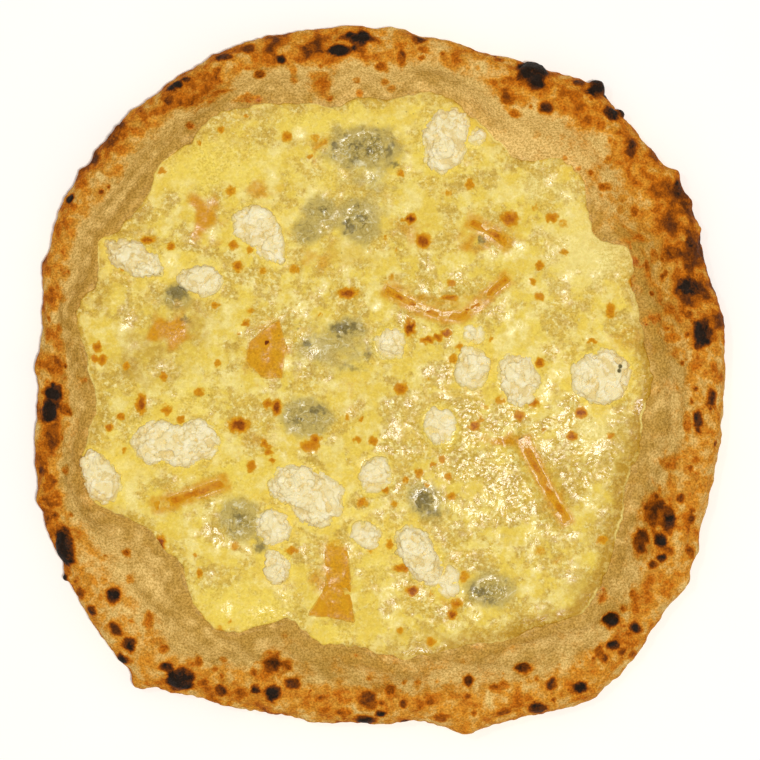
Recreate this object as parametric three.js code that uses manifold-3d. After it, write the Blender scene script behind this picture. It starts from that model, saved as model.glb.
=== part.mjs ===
// A four cheese pizza, about 31 by 32 cm, baked in a very hot oven. The dough base has a puffed rim with char
// blisters. On it lie a layer of melted mozzarella, dollops of ricotta, crumbles of blue cheese and slices of
// smoked cheese, half sunk in the melt.
//
// Millimetres, +Z up. The base rests on Z = 0. Seen from above, +X is to the right and +Y to the top.
// Bearings are degrees anticlockwise from +X.

import * as THREE from "three";
import { mergeVertices } from "three/addons/utils/BufferGeometryUtils.js";
import Module from "manifold-3d";

const wasm = await Module();
wasm.setup();

// ---------- driving dimensions ----------

const SEGMENTS = 112; // facets round the pizza
const REST_INSET = 9; // from the rim's widest line in to where the base touches down
const RIM_STATIONS = [-1, -0.5, 0, 0.36, 0.68, 1, 1.25, 1.48, 1.7, 2, 3]; // rings of facets, see sectionPoint
const BLISTER_SUNK = 0.4; // share of a blister's height that lies under the surface
const WIDEST_HEIGHT = 9; // height of the rim's widest line
const NARROW_RIM = { width: 15, crest: 17.5 }; // the rim's crest is lower where the rim is narrow
const CREST_RISE_PER_WIDTH = 0.16; // how much higher it gets for each millimetre of width
const CREST_INSET = { share: 0.42, least: 7, most: 14.5 }; // from the widest line in to the crest
const WELL_FLOOR = 3; // top of the dough under the cheese
const WELL_EDGE = 6; // top of the dough where the cheese ends
const FOOT = 8; // from the edge of the cheese in to the flat floor of the well
const CHEESE_LEVEL = 7.4; // mean top of the melted cheese
const CHEESE_CELL = 11; // size of the facets that its waves are made of
// Its rounded edge, as [in from the edge of the well, height].
const CHEESE_LIP = [[0.1, 6.9], [2.6, 8.2], [12, 9.8]];
const GAP = 0.35; // clearance between neighbouring pieces

// The rim's widest line, as [bearing, distance from the centre].
const OUTER_EDGE = [
  [0, 155.3], [10, 156.5], [20, 156.2], [30, 160.5], [40, 160], [50, 163], [56, 162.8], [62, 158.5],
  [70, 154.8], [80, 156], [92, 157.8], [103, 161.2], [115, 164.3], [130, 163.8], [142, 163.8], [150, 164.5],
  [158, 160.5], [167, 155.8], [176, 153.7], [186, 156], [196, 161], [206, 164.2], [217, 168.3], [226, 171.2],
  [234, 171], [242, 163.2], [250, 159.5], [260, 156], [269, 154.2], [276, 156.2], [284, 161.8], [293, 165.2],
  [302, 171], [310, 170.8], [320, 166.5], [330, 162.5], [340, 158.6], [349, 155.3],
];

// Small corners and flaps of dough that stand out of that line, as [bearing, rise, half width in degrees].
const EDGE_NUBS = [
  [35, 2.2, 2.5], [87, 3.2, 4.5], [101, 1.2, 5], [145.5, 1.8, 3], [212, 1.5, 3], [231.5, 5, 3],
  [284, 3, 4], [326, 1.6, 3.5],
];

// The edge of the melted cheese, as [bearing, distance from the centre].
const CHEESE_EDGE = [
  [0, 122.2], [8, 121.5], [16, 119.8], [23, 124.5], [28, 125.8], [33.5, 118.5], [40, 122.3], [45, 128.8],
  [51, 128], [57, 118.5], [64, 119], [73, 129.5], [80, 131.3], [88, 127.8], [95, 128], [100.5, 125.4],
  [106, 131.5], [116, 138.5], [124, 139.9], [134, 137.7], [143, 134], [149, 135.2], [154, 139.5],
  [159.5, 135.8], [166, 138.6], [172, 136.4], [179, 130.6], [186, 128.6], [193, 137], [200, 140.8],
  [204.5, 139.3], [212, 124], [218, 123.5], [223, 122.8], [230, 131], [237, 134.6], [244, 125],
  [250, 116.3], [257, 120.5], [265, 122], [272, 125.6], [281, 125.1], [290, 127], [299, 131.3],
  [305, 134.5], [311.5, 139], [318, 135.5], [327, 127.3], [336, 122], [345, 121.5], [353, 122.5],
];

// Waves as [amplitude, turns round the pizza, phase], and on the cheese [amplitude, wavelength, bearing, phase].
const CREST_WAVES = [[0.9, 3, 0.7], [0.8, 5, 2.1], [0.6, 8, 4], [0.4, 13, 1.2]];
const PUFF_WAVES = [[0.5, 11, 1.3], [0.45, 17, 4.4], [0.35, 26, 2.9]];
const CHEESE_WAVES = [
  [0.4, 58, 20, 0.4], [0.35, 41, 75, 2.3], [0.3, 31, 140, 4.1], [0.22, 22, 50, 1.1], [0.2, 17, 110, 5.2],
];

// Char blisters: puffs of dough on the rim, as {at: [x, y], half: [along the rim, across it], rise}.
const BLISTERS = [
  { at: [68.6, 137], half: [7.2, 7.6], rise: 5 },
  { at: [97.4, 130.4], half: [5.6, 4.6], rise: 3.4 },
  { at: [109, 119.6], half: [4.2, 3.4], rise: 2.2 },
  { at: [-9.2, 152.8], half: [8, 5], rise: 1.6 },
  { at: [-17.8, 146.9], half: [6.4, 4], rise: 1.4 },
  { at: [-146, -9.5], half: [8.6, 4.4], rise: 1.8 },
  { at: [-140.6, -75.4], half: [8.6, 4.6], rise: 2.6 },
  { at: [-114, -118], half: [5.4, 4], rise: 1.5 },
  { at: [-89.8, -133.9], half: [6.6, 5], rise: 2.6 },
  { at: [-47.5, -140.8], half: [5, 4.6], rise: 1.6 },
  { at: [-6.5, -151.6], half: [7.4, 3.6], rise: 1.4 },
  { at: [70, -146.6], half: [6.4, 3.8], rise: 1.9 },
  { at: [89.8, -138.4], half: [4.8, 4], rise: 1.4 },
  { at: [104.2, -107.3], half: [4, 4], rise: 2.2 },
  { at: [126.6, -64], half: [6.6, 4.6], rise: 1.4 },
  { at: [143.8, 20.5], half: [6.8, 4.4], rise: 2 },
];

// Dollops of ricotta, as {at: [x, y], reach: how far each goes at even bearings from +X on, rise: height over the
// melt}.
const RICOTTA = [
  { at: [29.5, 108], reach: [9.5, 11, 15, 13.5, 11, 10.5, 10, 11, 13.5, 15, 11.5, 10], rise: 4.4 },
  { at: [-111, 54.5], reach: [11, 7.5, 6.5, 7, 9, 15, 10.5, 6.5, 5.5, 6, 9, 15.5], rise: 4.6 },
  { at: [-81, 45.5], reach: [9.5, 8, 5, 9.5, 7, 7.5], rise: 4 },
  { at: [-54, 66], reach: [9, 8, 10.5, 12, 13.5, 13.5, 11, 9, 7, 10, 16.5, 12.5], rise: 3 },
  { at: [-92, -28], reach: [20, 17, 8, 7, 9.5, 17, 20, 17.5, 9.5, 10, 11.5, 15], rise: 4.6 },
  { at: [-126, -43.5], reach: [9, 7, 7.5, 10.5, 13.5, 10, 7.5, 7, 9, 12, 12.5, 10.5], rise: 4.8 },
  { at: [-33, -51.5], reach: [17, 13.5, 11, 12.5, 15, 17.5, 15, 9, 9.5, 14, 15.5, 17], rise: 4.8 },
  { at: [-48.5, -66], reach: [8.5, 7, 7.5, 8, 7, 8], rise: 3.8 },
  { at: [-47, -84], reach: [6, 7, 7.5, 4.5, 6.5, 8], rise: 3 },
  { at: [-2.5, -42.5], reach: [7, 8, 7, 5.5, 8.5, 7.5], rise: 2.8 },
  { at: [-6.5, -69.5], reach: [7, 5.5, 5.5, 6.5, 5, 6.5], rise: 2.4 },
  { at: [16.5, -79.5], reach: [10.5, 8.5, 10, 12.5, 14.5, 11, 6.5, 5, 6, 9.5, 14.5, 12.5], rise: 4.8 },
  { at: [30.5, -91], reach: [3.5, 6.5, 6.5, 3, 6.5, 6.5], rise: 1.8 },
  { at: [4.5, 16], reach: [6.5, 7.5, 7, 7, 7, 7], rise: 2.4 },
  { at: [41.5, 5.5], reach: [6.5, 9, 9, 7, 8.5, 9], rise: 2.8 },
  { at: [62, 0.5], reach: [10, 8.5, 10, 12, 12, 9.5, 8.5, 8, 10, 12.5, 11, 8.5], rise: 3.8 },
  { at: [100, 1], reach: [12, 15, 12.5, 12, 11.5, 13.5, 13, 13, 12.5, 11, 11.5, 12.5], rise: 4.2 },
  { at: [26.5, -20.5], reach: [7, 8, 8.5, 6.5, 7, 9.5], rise: 2.2 },
  { at: [43, 109], reach: [3, 4.5, 3.5, 2.5, 4, 3.5], rise: 1.8 },
  { at: [41.5, 21], reach: [5, 3.5, 4, 5, 3, 4], rise: 1.6 },
];

// Crumbles of blue cheese, in the same form.
const BLUE_CHEESE = [
  { at: [-6.5, 103.5], reach: [13.5, 11.5, 9, 8.5, 9, 11.5, 15, 11, 6.5, 5.5, 6.5, 11], rise: 2.2 },
  { at: [-9.5, 72], reach: [6.5, 7.5, 7.5, 7, 7, 9.5], rise: 2.2 },
  { at: [-26, 76], reach: [6.5, 4.5, 4.5, 7, 4, 4], rise: 1.7 },
  { at: [-32.5, 67.5], reach: [5.5, 3.5, 3.5, 5, 4, 4], rise: 1.6 },
  { at: [-14, 22.5], reach: [5.5, 4, 3, 5.5, 2.5, 2.5], rise: 1.9 },
  { at: [-34, -17], reach: [11, 7, 6.5, 9, 6.5, 7], rise: 1.9 },
  { at: [19.5, -54], reach: [5.5, 5, 5.5, 5, 4.5, 8], rise: 2 },
  { at: [49, -95], reach: [10, 6.5, 6, 8.5, 5, 5.5], rise: 2 },
  { at: [-91.5, 38], reach: [4, 3.5, 3.5, 3.5, 3.5, 3.5], rise: 1.7 },
  { at: [-63, -62], reach: [6.5, 7, 7, 7, 7, 9], rise: 1.8 },
];

// Flat slices of smoked cheese, as {corners: [[x, y], ...], rise}.
const FLAT_SLICES = [
  { corners: [[-25.4, -74], [-14.6, -75.2], [-13, -90], [-11.5, -109], [-32.6, -106], [-24.5, -92]], rise: 1.3 },
  { corners: [[-45.2, 28], [-42, 15], [-44, 0.4], [-53.5, 1], [-60.5, 8.4], [-59.6, 17]], rise: 1 },
];

// Thin strips of its rind, as {along: [[x, y], ...], width, rise}.
const RIND_STRIPS = [
  { along: [[-101.5, -57], [-86, -52], [-70, -46]], width: 4.6, rise: 1.4 },
  { along: [[64, -26.8], [71.8, -42.5], [78.4, -54], [84.4, -63.7]], width: 4, rise: 1.5 },
  { along: [[2.5, 40.7], [13.3, 34.9], [26.8, 29], [38, 29], [46.1, 36.2], [57.4, 46.1]], width: 3.4, rise: 1.4 },
  { along: [[40.3, 71.3], [49, 67.4], [57.4, 61]], width: 4, rise: 1 },
];

const SINK = 2.7; // how deep a piece sits in the melt
const LUMPINESS = 0.2; // share by which a dollop's height goes up and down
const FACET = 4.8; // width of a dollop's facets
const FEWEST_FACETS = 8;
const STRIP_STEPS = 7; // steps along a strip
// Half of a dollop's section, from its lowest to its highest point, for a radius and a height of 1.
const DOLLOP_SECTION = [[0, -1], [0.7, -0.8], [1, 0], [0.88, 0.6], [0.5, 0.92], [0, 1]];

// Colours as seen under warm light.
const COLOURS = {
  crust: { color: "#c9944f", roughness: 0.85 },
  mozzarella: { color: "#ead173", roughness: 0.35 },
  ricotta: { color: "#f3e5b4", roughness: 0.75 },
  blue_cheese: { color: "#a39a68", roughness: 0.55 },
  smoked_cheese: { color: "#dc9a2c", roughness: 0.4 },
};

// ---------- small helpers ----------

const radians = THREE.MathUtils.degToRad;

// Distance from the centre at a bearing, on a smooth closed curve through the outline's points.
function distanceAt(outline, bearing) {
  const count = outline.length;
  const turn = THREE.MathUtils.euclideanModulo(bearing, 360);
  const found = outline.findIndex(([b]) => b > turn);
  const next = found < 0 ? count : found;
  const point = (k) => {
    const [b, r] = outline[THREE.MathUtils.euclideanModulo(k, count)];
    return { b: b + 360 * Math.floor(k / count), r };
  };
  const [before, from, to, after] = [next - 2, next - 1, next, next + 1].map(point);
  const step = to.b - from.b;
  const t = (turn - from.b) / step;
  const leaving = ((to.r - before.r) / (to.b - before.b)) * step;
  const arriving = ((after.r - from.r) / (after.b - from.b)) * step;
  const rise = to.r - from.r;
  return from.r + leaving * t + (3 * rise - 2 * leaving - arriving) * t ** 2 + (leaving + arriving - 2 * rise) * t ** 3;
}

// 1 at zero, falling smoothly to 0 at plus or minus one.
const hump = (x) => (Math.abs(x) < 1 ? (1 + Math.cos(Math.PI * x)) / 2 : 0);

const ringWaves = (waves, bearing, shift = 0) =>
  waves.reduce((sum, [size, turns, phase]) => sum + size * Math.sin(turns * radians(bearing) + phase + shift), 0);

const bearingOf = (x, y) => THREE.MathUtils.euclideanModulo(THREE.MathUtils.radToDeg(Math.atan2(y, x)), 360);

// ---------- the rim's section ----------

// Everything about the rim at one bearing.
function rimAt(bearing) {
  const inner = distanceAt(CHEESE_EDGE, bearing);
  const edge = distanceAt(OUTER_EDGE, bearing);
  const width = edge - inner;
  const crest =
    NARROW_RIM.crest + CREST_RISE_PER_WIDTH * (width - NARROW_RIM.width) + ringWaves(CREST_WAVES, bearing);
  const inset = THREE.MathUtils.clamp(CREST_INSET.share * width, CREST_INSET.least, CREST_INSET.most);
  const nub = EDGE_NUBS.reduce((sum, [at, rise, half]) => sum + rise * hump((bearing - at) / half), 0);
  return { inner, edge, width, crest, inset, nub };
}

// A point of the section at a station: -1 is where the base leaves the table, 0 the widest line, 1 the crest,
// 2 the edge of the cheese and 3 the foot of the well. Gives the distance from the centre and the height.
function sectionPoint(bearing, station) {
  const rim = rimAt(bearing);
  if (station > 2) {
    const t = station - 2;
    return { r: rim.inner - FOOT * t, z: WELL_EDGE + (WELL_FLOOR - WELL_EDGE) * t };
  }
  if (station > 1) {
    const t = station - 1;
    const puff = ringWaves(PUFF_WAVES, bearing, 2 * t) * Math.sin(Math.PI * t);
    const along = rim.inset + (rim.width - rim.inset) * t;
    return { r: rim.edge - along, z: WELL_EDGE + (rim.crest - WELL_EDGE) * hump(t) + puff };
  }
  const angle = (station * Math.PI) / 2;
  const nub = rim.nub * hump(station);
  const puff = ringWaves(PUFF_WAVES, bearing, station) * Math.cos(angle);
  const [reach, height] = station < 0 ? [REST_INSET, WIDEST_HEIGHT] : [rim.inset, rim.crest - WIDEST_HEIGHT];
  return {
    r: rim.edge + nub + puff - reach * (1 - Math.cos(angle)),
    z: WIDEST_HEIGHT + height * Math.sin(angle),
  };
}

// Where a point of the rim seen from above lies on its upper side, and which way the surface faces there.
function rimSurface([x, y]) {
  const bearing = bearingOf(x, y);
  const wanted = Math.hypot(x, y);
  let [low, high] = [0, 2];
  for (let i = 0; i < 30; i++) {
    const middle = (low + high) / 2;
    if (sectionPoint(bearing, middle).r > wanted) low = middle;
    else high = middle;
  }
  const step = 0.05;
  const [outside, inside] = [low - step, low + step].map((s) => sectionPoint(bearing, s));
  const here = sectionPoint(bearing, low);
  const facing = new THREE.Vector2(inside.z - outside.z, outside.r - inside.r).normalize();
  const place = (r, z) => new THREE.Vector3(r * Math.cos(radians(bearing)), r * Math.sin(radians(bearing)), z);
  return { point: place(here.r, here.z), normal: place(facing.x, facing.y), bearing };
}

// ---------- solids ----------

function solidOf(geometry) {
  const bare = new THREE.BufferGeometry().setAttribute("position", geometry.getAttribute("position"));
  if (geometry.index) bare.setIndex(geometry.index);
  const merged = mergeVertices(bare, 1e-4);
  const index = merged.index.array;
  const triangles = [];
  for (let i = 0; i < index.length; i += 3) {
    const [a, b, c] = index.subarray(i, i + 3);
    if (a !== b && b !== c && c !== a) triangles.push(a, b, c);
  }
  return new wasm.Manifold(
    new wasm.Mesh({
      numProp: 3,
      vertProperties: merged.getAttribute("position").array,
      triVerts: new Uint32Array(triangles),
    }),
  );
}

function geometryOf(solid) {
  const mesh = solid.getMesh();
  return new THREE.BufferGeometry()
    .setAttribute("position", new THREE.BufferAttribute(mesh.vertProperties, 3))
    .setIndex(new THREE.BufferAttribute(mesh.triVerts, 1))
    .toNonIndexed();
}

// The largest piece of a solid, so that a cut leaves no loose scrap.
const largest = (solid) =>
  solid.decompose().reduce((best, piece) => (piece.volume() > best.volume() ? piece : best));

// A closed body of revolution about an upright axis at [x, y], whose rings are then moved: place(bearing, ring)
// gives each point's distance r from the axis and its height z.
function ringBody([x, y], segments, ringCount, place) {
  const profile = Array.from({ length: ringCount }, (_, ring) => {
    const onAxis = ring === 0 || ring === ringCount - 1;
    return new THREE.Vector2(onAxis ? 0 : 1, ring);
  });
  const body = new THREE.LatheGeometry(profile, segments);
  const position = body.getAttribute("position");
  for (let i = 0; i < position.count; i++) {
    const segment = Math.floor(i / ringCount) % segments;
    const bearing = (segment * 360) / segments;
    const { r, z } = place(bearing, i % ringCount);
    position.setXYZ(i, x + r * Math.cos(radians(bearing)), y + r * Math.sin(radians(bearing)), z);
  }
  return solidOf(body);
}

// ---------- dough ----------

function blister({ at, half, rise }) {
  const { point, normal, bearing } = rimSurface(at);
  const ball = new THREE.IcosahedronGeometry(1, 1);
  const height = rise / (1 - BLISTER_SUNK);
  ball.scale(half[1], half[0], height);
  ball.rotateZ(radians(bearing));
  ball.applyQuaternion(new THREE.Quaternion().setFromUnitVectors(new THREE.Vector3(0, 0, 1), normal));
  ball.translate(...point.clone().addScaledVector(normal, rise - height).toArray());
  return solidOf(ball);
}

function crustSolid() {
  const rings = RIM_STATIONS.length + 2;
  const bare = ringBody([0, 0], SEGMENTS, rings, (bearing, ring) => {
    if (ring === 0) return { r: 0, z: 0 };
    if (ring === rings - 1) return { r: 0, z: WELL_FLOOR };
    return sectionPoint(bearing, RIM_STATIONS[ring - 1]);
  });
  return BLISTERS.reduce((dough, spec) => dough.add(blister(spec)), bare);
}

// ---------- melted cheese ----------

function cheeseTop(x, y) {
  return CHEESE_WAVES.reduce((sum, [size, length, bearing, phase]) => {
    const along = x * Math.cos(radians(bearing)) + y * Math.sin(radians(bearing));
    return sum + size * Math.sin((2 * Math.PI * along) / length + phase);
  }, CHEESE_LEVEL);
}

// A square slab with a wavy top, larger than the pizza's well.
function wavySlab() {
  const furthest = Math.max(...CHEESE_EDGE.map(([, distance]) => distance));
  const cells = 2 * Math.ceil(furthest / CHEESE_CELL);
  const side = cells * CHEESE_CELL;
  const slab = new THREE.BoxGeometry(side, side, CHEESE_LEVEL, cells, cells, 1);
  slab.translate(0, 0, CHEESE_LEVEL / 2);
  const position = slab.getAttribute("position");
  for (let i = 0; i < position.count; i++) {
    if (position.getZ(i) > 0) position.setZ(i, cheeseTop(position.getX(i), position.getY(i)));
  }
  return solidOf(slab);
}

// What fills the well with a clearance, under a rounded edge.
function wellFilling() {
  const floor = WELL_FLOOR + GAP;
  const footing = [FOOT, floor];
  const rise = ((WELL_EDGE - WELL_FLOOR) * (FOOT - GAP)) / FOOT;
  const section = [footing, [GAP, floor + rise], ...CHEESE_LIP];
  const top = CHEESE_LIP.at(-1)[1];
  return ringBody([0, 0], SEGMENTS, section.length + 2, (bearing, ring) => {
    if (ring === 0) return { r: 0, z: floor };
    if (ring > section.length) return { r: 0, z: top };
    const [inset, height] = section[ring - 1];
    return { r: distanceAt(CHEESE_EDGE, bearing) - inset, z: height };
  });
}

const cheeseSolid = () => wavySlab().intersect(wellFilling());

// ---------- toppings: each is made with a clearance, which is 0 for the piece and GAP for its hollow ----------

function dollop({ at, reach, rise }, clearance) {
  const outline = reach.map((distance, i) => [(i * 360) / reach.length, distance]);
  const girth = (2 * Math.PI * reach.reduce((sum, distance) => sum + distance)) / reach.length;
  const facets = Math.max(FEWEST_FACETS, Math.round(girth / FACET));
  return ringBody(at, facets, DOLLOP_SECTION.length, (bearing, ring) => {
    const [share, level] = DOLLOP_SECTION[ring];
    const lump = Math.sin(2 * radians(bearing) + at[0]) + Math.sin(3 * radians(bearing) + at[1]);
    const height = (level > 0 ? rise : SINK) * (1 + (LUMPINESS / 2) * lump * share);
    return {
      r: share * (distanceAt(outline, bearing) + clearance),
      z: CHEESE_LEVEL + level * (height + clearance),
    };
  });
}

function flatSlice({ corners, rise }, clearance) {
  const outline = corners.map(([x, y]) => new THREE.Vector2(x, y));
  const middle = outline.reduce((sum, p) => sum.add(p), new THREE.Vector2()).divideScalar(outline.length);
  const grown = outline.map((p) => {
    const away = p.clone().sub(middle);
    return p.clone().addScaledVector(away.normalize(), 1.5 * clearance);
  });
  const slab = new THREE.ExtrudeGeometry(new THREE.Shape(grown), {
    depth: rise + SINK / 2 + 2 * clearance,
    bevelEnabled: false,
  });
  slab.translate(0, 0, CHEESE_LEVEL - SINK / 2 - clearance);
  return solidOf(slab);
}

function rindStrip({ along, width, rise }, clearance) {
  const height = rise + SINK / 2;
  const middle = CHEESE_LEVEL + rise - height / 2;
  const path = new THREE.CatmullRomCurve3(along.map(([x, y]) => new THREE.Vector3(x, y, middle)));
  const [across, up] = [width / 2 + clearance, height / 2 + clearance];
  const section = new THREE.Shape(
    [[-up, -across], [up, -across], [up, across], [-up, across]].map(([a, b]) => new THREE.Vector2(a, b)),
  );
  const strip = new THREE.ExtrudeGeometry(section, { extrudePath: path, steps: STRIP_STEPS });
  if (!clearance) return solidOf(strip);
  return [path.getPoint(0), path.getPoint(1)].reduce((room, end) => {
    const cap = new THREE.BoxGeometry(2 * across, 2 * across, 2 * up).translate(...end.toArray());
    return room.add(solidOf(cap));
  }, solidOf(strip));
}

// ---------- the pizza ----------

const toppings = [
  ...FLAT_SLICES.map((spec, i) => ({ name: `smoked_slice_${i + 1}`, of: "smoked_cheese", make: flatSlice, spec })),
  ...RIND_STRIPS.map((spec, i) => ({ name: `smoked_rind_${i + 1}`, of: "smoked_cheese", make: rindStrip, spec })),
  ...RICOTTA.map((spec, i) => ({ name: `ricotta_${i + 1}`, of: "ricotta", make: dollop, spec })),
  ...BLUE_CHEESE.map((spec, i) => ({ name: `blue_cheese_${i + 1}`, of: "blue_cheese", make: dollop, spec })),
];

const hollows = toppings.map(({ make, spec }) => make(spec, GAP));
const hollow = (solid) => hollows.reduce((left, room) => left.subtract(room), solid);

const pizza = new THREE.Group();

function addPiece(name, of, solid) {
  const material = new THREE.MeshStandardMaterial({ metalness: 0, ...COLOURS[of] });
  const piece = new THREE.Mesh(geometryOf(largest(solid)), material);
  piece.name = name;
  pizza.add(piece);
}

addPiece("crust", "crust", hollow(crustSolid()));
addPiece("mozzarella", "mozzarella", hollow(cheeseSolid()));
toppings.forEach(({ name, of, make, spec }, i) => {
  const clear = hollows.slice(0, i).reduce((left, room) => left.subtract(room), make(spec, 0));
  addPiece(name, of, clear);
});

// The origin is the middle of the footprint, so the whole is moved by what its box is off centre.
const middle = new THREE.Box3().setFromObject(pizza).getCenter(new THREE.Vector3());
pizza.position.set(-middle.x, -middle.y, 0);

export default pizza;
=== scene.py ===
# A four cheese pizza, about 31 by 32 cm, baked in a very hot oven: a puffed rim with char blisters round
# melted cheese, ricotta, blue cheese and smoked cheese. Lengths are millimetres until they are written to
# Blender, and +Z is up.

import itertools

import bmesh
import bpy
import numpy as np
from mathutils import Matrix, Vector
from mathutils.bvhtree import BVHTree
from mathutils.kdtree import KDTree


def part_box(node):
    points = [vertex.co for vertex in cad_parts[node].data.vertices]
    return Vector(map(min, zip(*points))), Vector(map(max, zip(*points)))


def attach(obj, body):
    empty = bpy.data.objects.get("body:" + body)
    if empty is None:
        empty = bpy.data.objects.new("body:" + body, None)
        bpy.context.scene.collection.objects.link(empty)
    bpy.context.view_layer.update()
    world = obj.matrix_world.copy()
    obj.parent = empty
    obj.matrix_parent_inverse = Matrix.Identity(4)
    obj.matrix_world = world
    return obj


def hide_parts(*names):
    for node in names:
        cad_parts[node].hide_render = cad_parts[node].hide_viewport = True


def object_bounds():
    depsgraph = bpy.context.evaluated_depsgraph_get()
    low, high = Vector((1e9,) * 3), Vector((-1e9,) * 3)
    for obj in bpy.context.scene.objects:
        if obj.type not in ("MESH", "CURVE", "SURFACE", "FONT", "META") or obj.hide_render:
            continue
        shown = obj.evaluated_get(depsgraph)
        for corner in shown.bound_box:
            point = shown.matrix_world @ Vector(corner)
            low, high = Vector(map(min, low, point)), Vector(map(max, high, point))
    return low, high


bl_info = {
    "name": "Four cheese pizza",
    "version": (1, 0, 0),
    "blender": (4, 5, 0),
    "location": "3D View > Sidebar > Pizza",
    "description": "Models a hearth-baked pizza with four cheeses",
    "category": "Add Mesh",
}

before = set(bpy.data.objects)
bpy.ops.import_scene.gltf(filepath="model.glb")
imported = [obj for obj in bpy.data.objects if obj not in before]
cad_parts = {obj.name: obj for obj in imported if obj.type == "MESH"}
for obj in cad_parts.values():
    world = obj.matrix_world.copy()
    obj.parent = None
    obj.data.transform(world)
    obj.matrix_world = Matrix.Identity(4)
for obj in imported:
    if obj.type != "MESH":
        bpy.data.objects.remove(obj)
CAD_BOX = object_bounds()
BODY = "root"
MM = 0.001

# ---------- the pizza's outline and section ----------

# The rings of the rim are drawn round a point that lies a little off the frame's middle.
SLICE_LOWEST = (-32.6, -109)  # lowest corner of the first slice, from that point
CENTRE = np.array(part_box("smoked_slice_1")[0][:2]) / MM - SLICE_LOWEST

# The rim's widest line, as (bearing, distance from the centre). Bearings are degrees anticlockwise from +X.
OUTER_EDGE = [
    (0, 155.3), (10, 156.5), (20, 156.2), (30, 160.5), (40, 160), (50, 163), (56, 162.8), (62, 158.5),
    (70, 154.8), (80, 156), (92, 157.8), (103, 161.2), (115, 164.3), (130, 163.8), (142, 163.8),
    (150, 164.5), (158, 160.5), (167, 155.8), (176, 153.7), (186, 156), (196, 161), (206, 164.2),
    (217, 168.3), (226, 171.2), (234, 171), (242, 163.2), (250, 159.5), (260, 156), (269, 154.2),
    (276, 156.2), (284, 161.8), (293, 165.2), (302, 171), (310, 170.8), (320, 166.5), (330, 162.5),
    (340, 158.6), (349, 155.3),
]
# Small flaps of dough that stand out of that line, as (bearing, rise, half width in degrees).
EDGE_NUBS = [
    (35, 2.2, 2.5), (87, 3.2, 4.5), (101, 1.2, 5), (145.5, 1.8, 3), (212, 1.5, 3), (231.5, 5, 3),
    (284, 3, 4), (326, 1.6, 3.5),
]
# The edge of the melted cheese, as (bearing, distance from the centre).
CHEESE_EDGE = [
    (0, 122.2), (8, 121.5), (16, 119.8), (23, 124.5), (28, 125.8), (33.5, 118.5), (40, 122.3), (45, 128.8),
    (51, 128), (57, 118.5), (64, 119), (73, 129.5), (80, 131.3), (88, 127.8), (95, 128), (100.5, 125.4),
    (106, 131.5), (116, 138.5), (124, 139.9), (134, 137.7), (143, 134), (149, 135.2), (154, 139.5),
    (159.5, 135.8), (166, 138.6), (172, 136.4), (179, 130.6), (186, 128.6), (193, 137), (200, 140.8),
    (204.5, 139.3), (212, 124), (218, 123.5), (223, 122.8), (230, 131), (237, 134.6), (244, 125),
    (250, 116.3), (257, 120.5), (265, 122), (272, 125.6), (281, 125.1), (290, 127), (299, 131.3),
    (305, 134.5), (311.5, 139), (318, 135.5), (327, 127.3), (336, 122), (345, 121.5), (353, 122.5),
]
REST_INSET = 9  # from the rim's widest line in to where the base touches down
WIDEST_HEIGHT = 9
NARROW_RIM, NARROW_CREST = 15, 17.5  # width and crest height where the rim is narrow
CREST_RISE = 0.16  # how much higher the crest gets for each millimetre of width
CREST_SHARE = 0.42  # share of the width from the widest line in to the crest
CREST_LEAST, CREST_MOST = 7, 14.5
WELL_FLOOR, WELL_EDGE = 3, 6  # top of the dough under the cheese, and where the cheese ends
FOOT = 8  # how far the foot of the well lies in from the cheese's edge
# Waves of the rim as (amplitude, turns round the pizza, phase).
CREST_WAVES = [(0.9, 3, 0.7), (0.8, 5, 2.1), (0.6, 8, 4), (0.4, 13, 1.2)]
PUFF_WAVES = [(0.5, 11, 1.3), (0.45, 17, 4.4), (0.35, 26, 2.9)]
CHEESE_LEVEL = 7.4
# Waves of the cheese as (amplitude, length, bearing, phase).
CHEESE_WAVES = [
    (0.4, 58, 20, 0.4), (0.35, 41, 75, 2.3), (0.3, 31, 140, 4.1), (0.15, 22, 50, 1.1), (0.1, 17, 110, 5.2),
]

# ---------- what the oven did to the dough ----------

# Black bubbles, as (x, y, half width, half length, rise).
BLACK_BUBBLES = [
    (68.5, 137, 7, 7, 5), (97.5, 131, 4.5, 4, 3.4), (109.5, 120.5, 2.5, 2.5, 2.2),
    (-141, -75.5, 4, 8.5, 2.6), (-90, -134, 5.5, 5, 2.6), (103.5, -107.5, 3, 3, 2.2),
    (-141.5, -89, 1.5, 2, 1.2),
]
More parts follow.
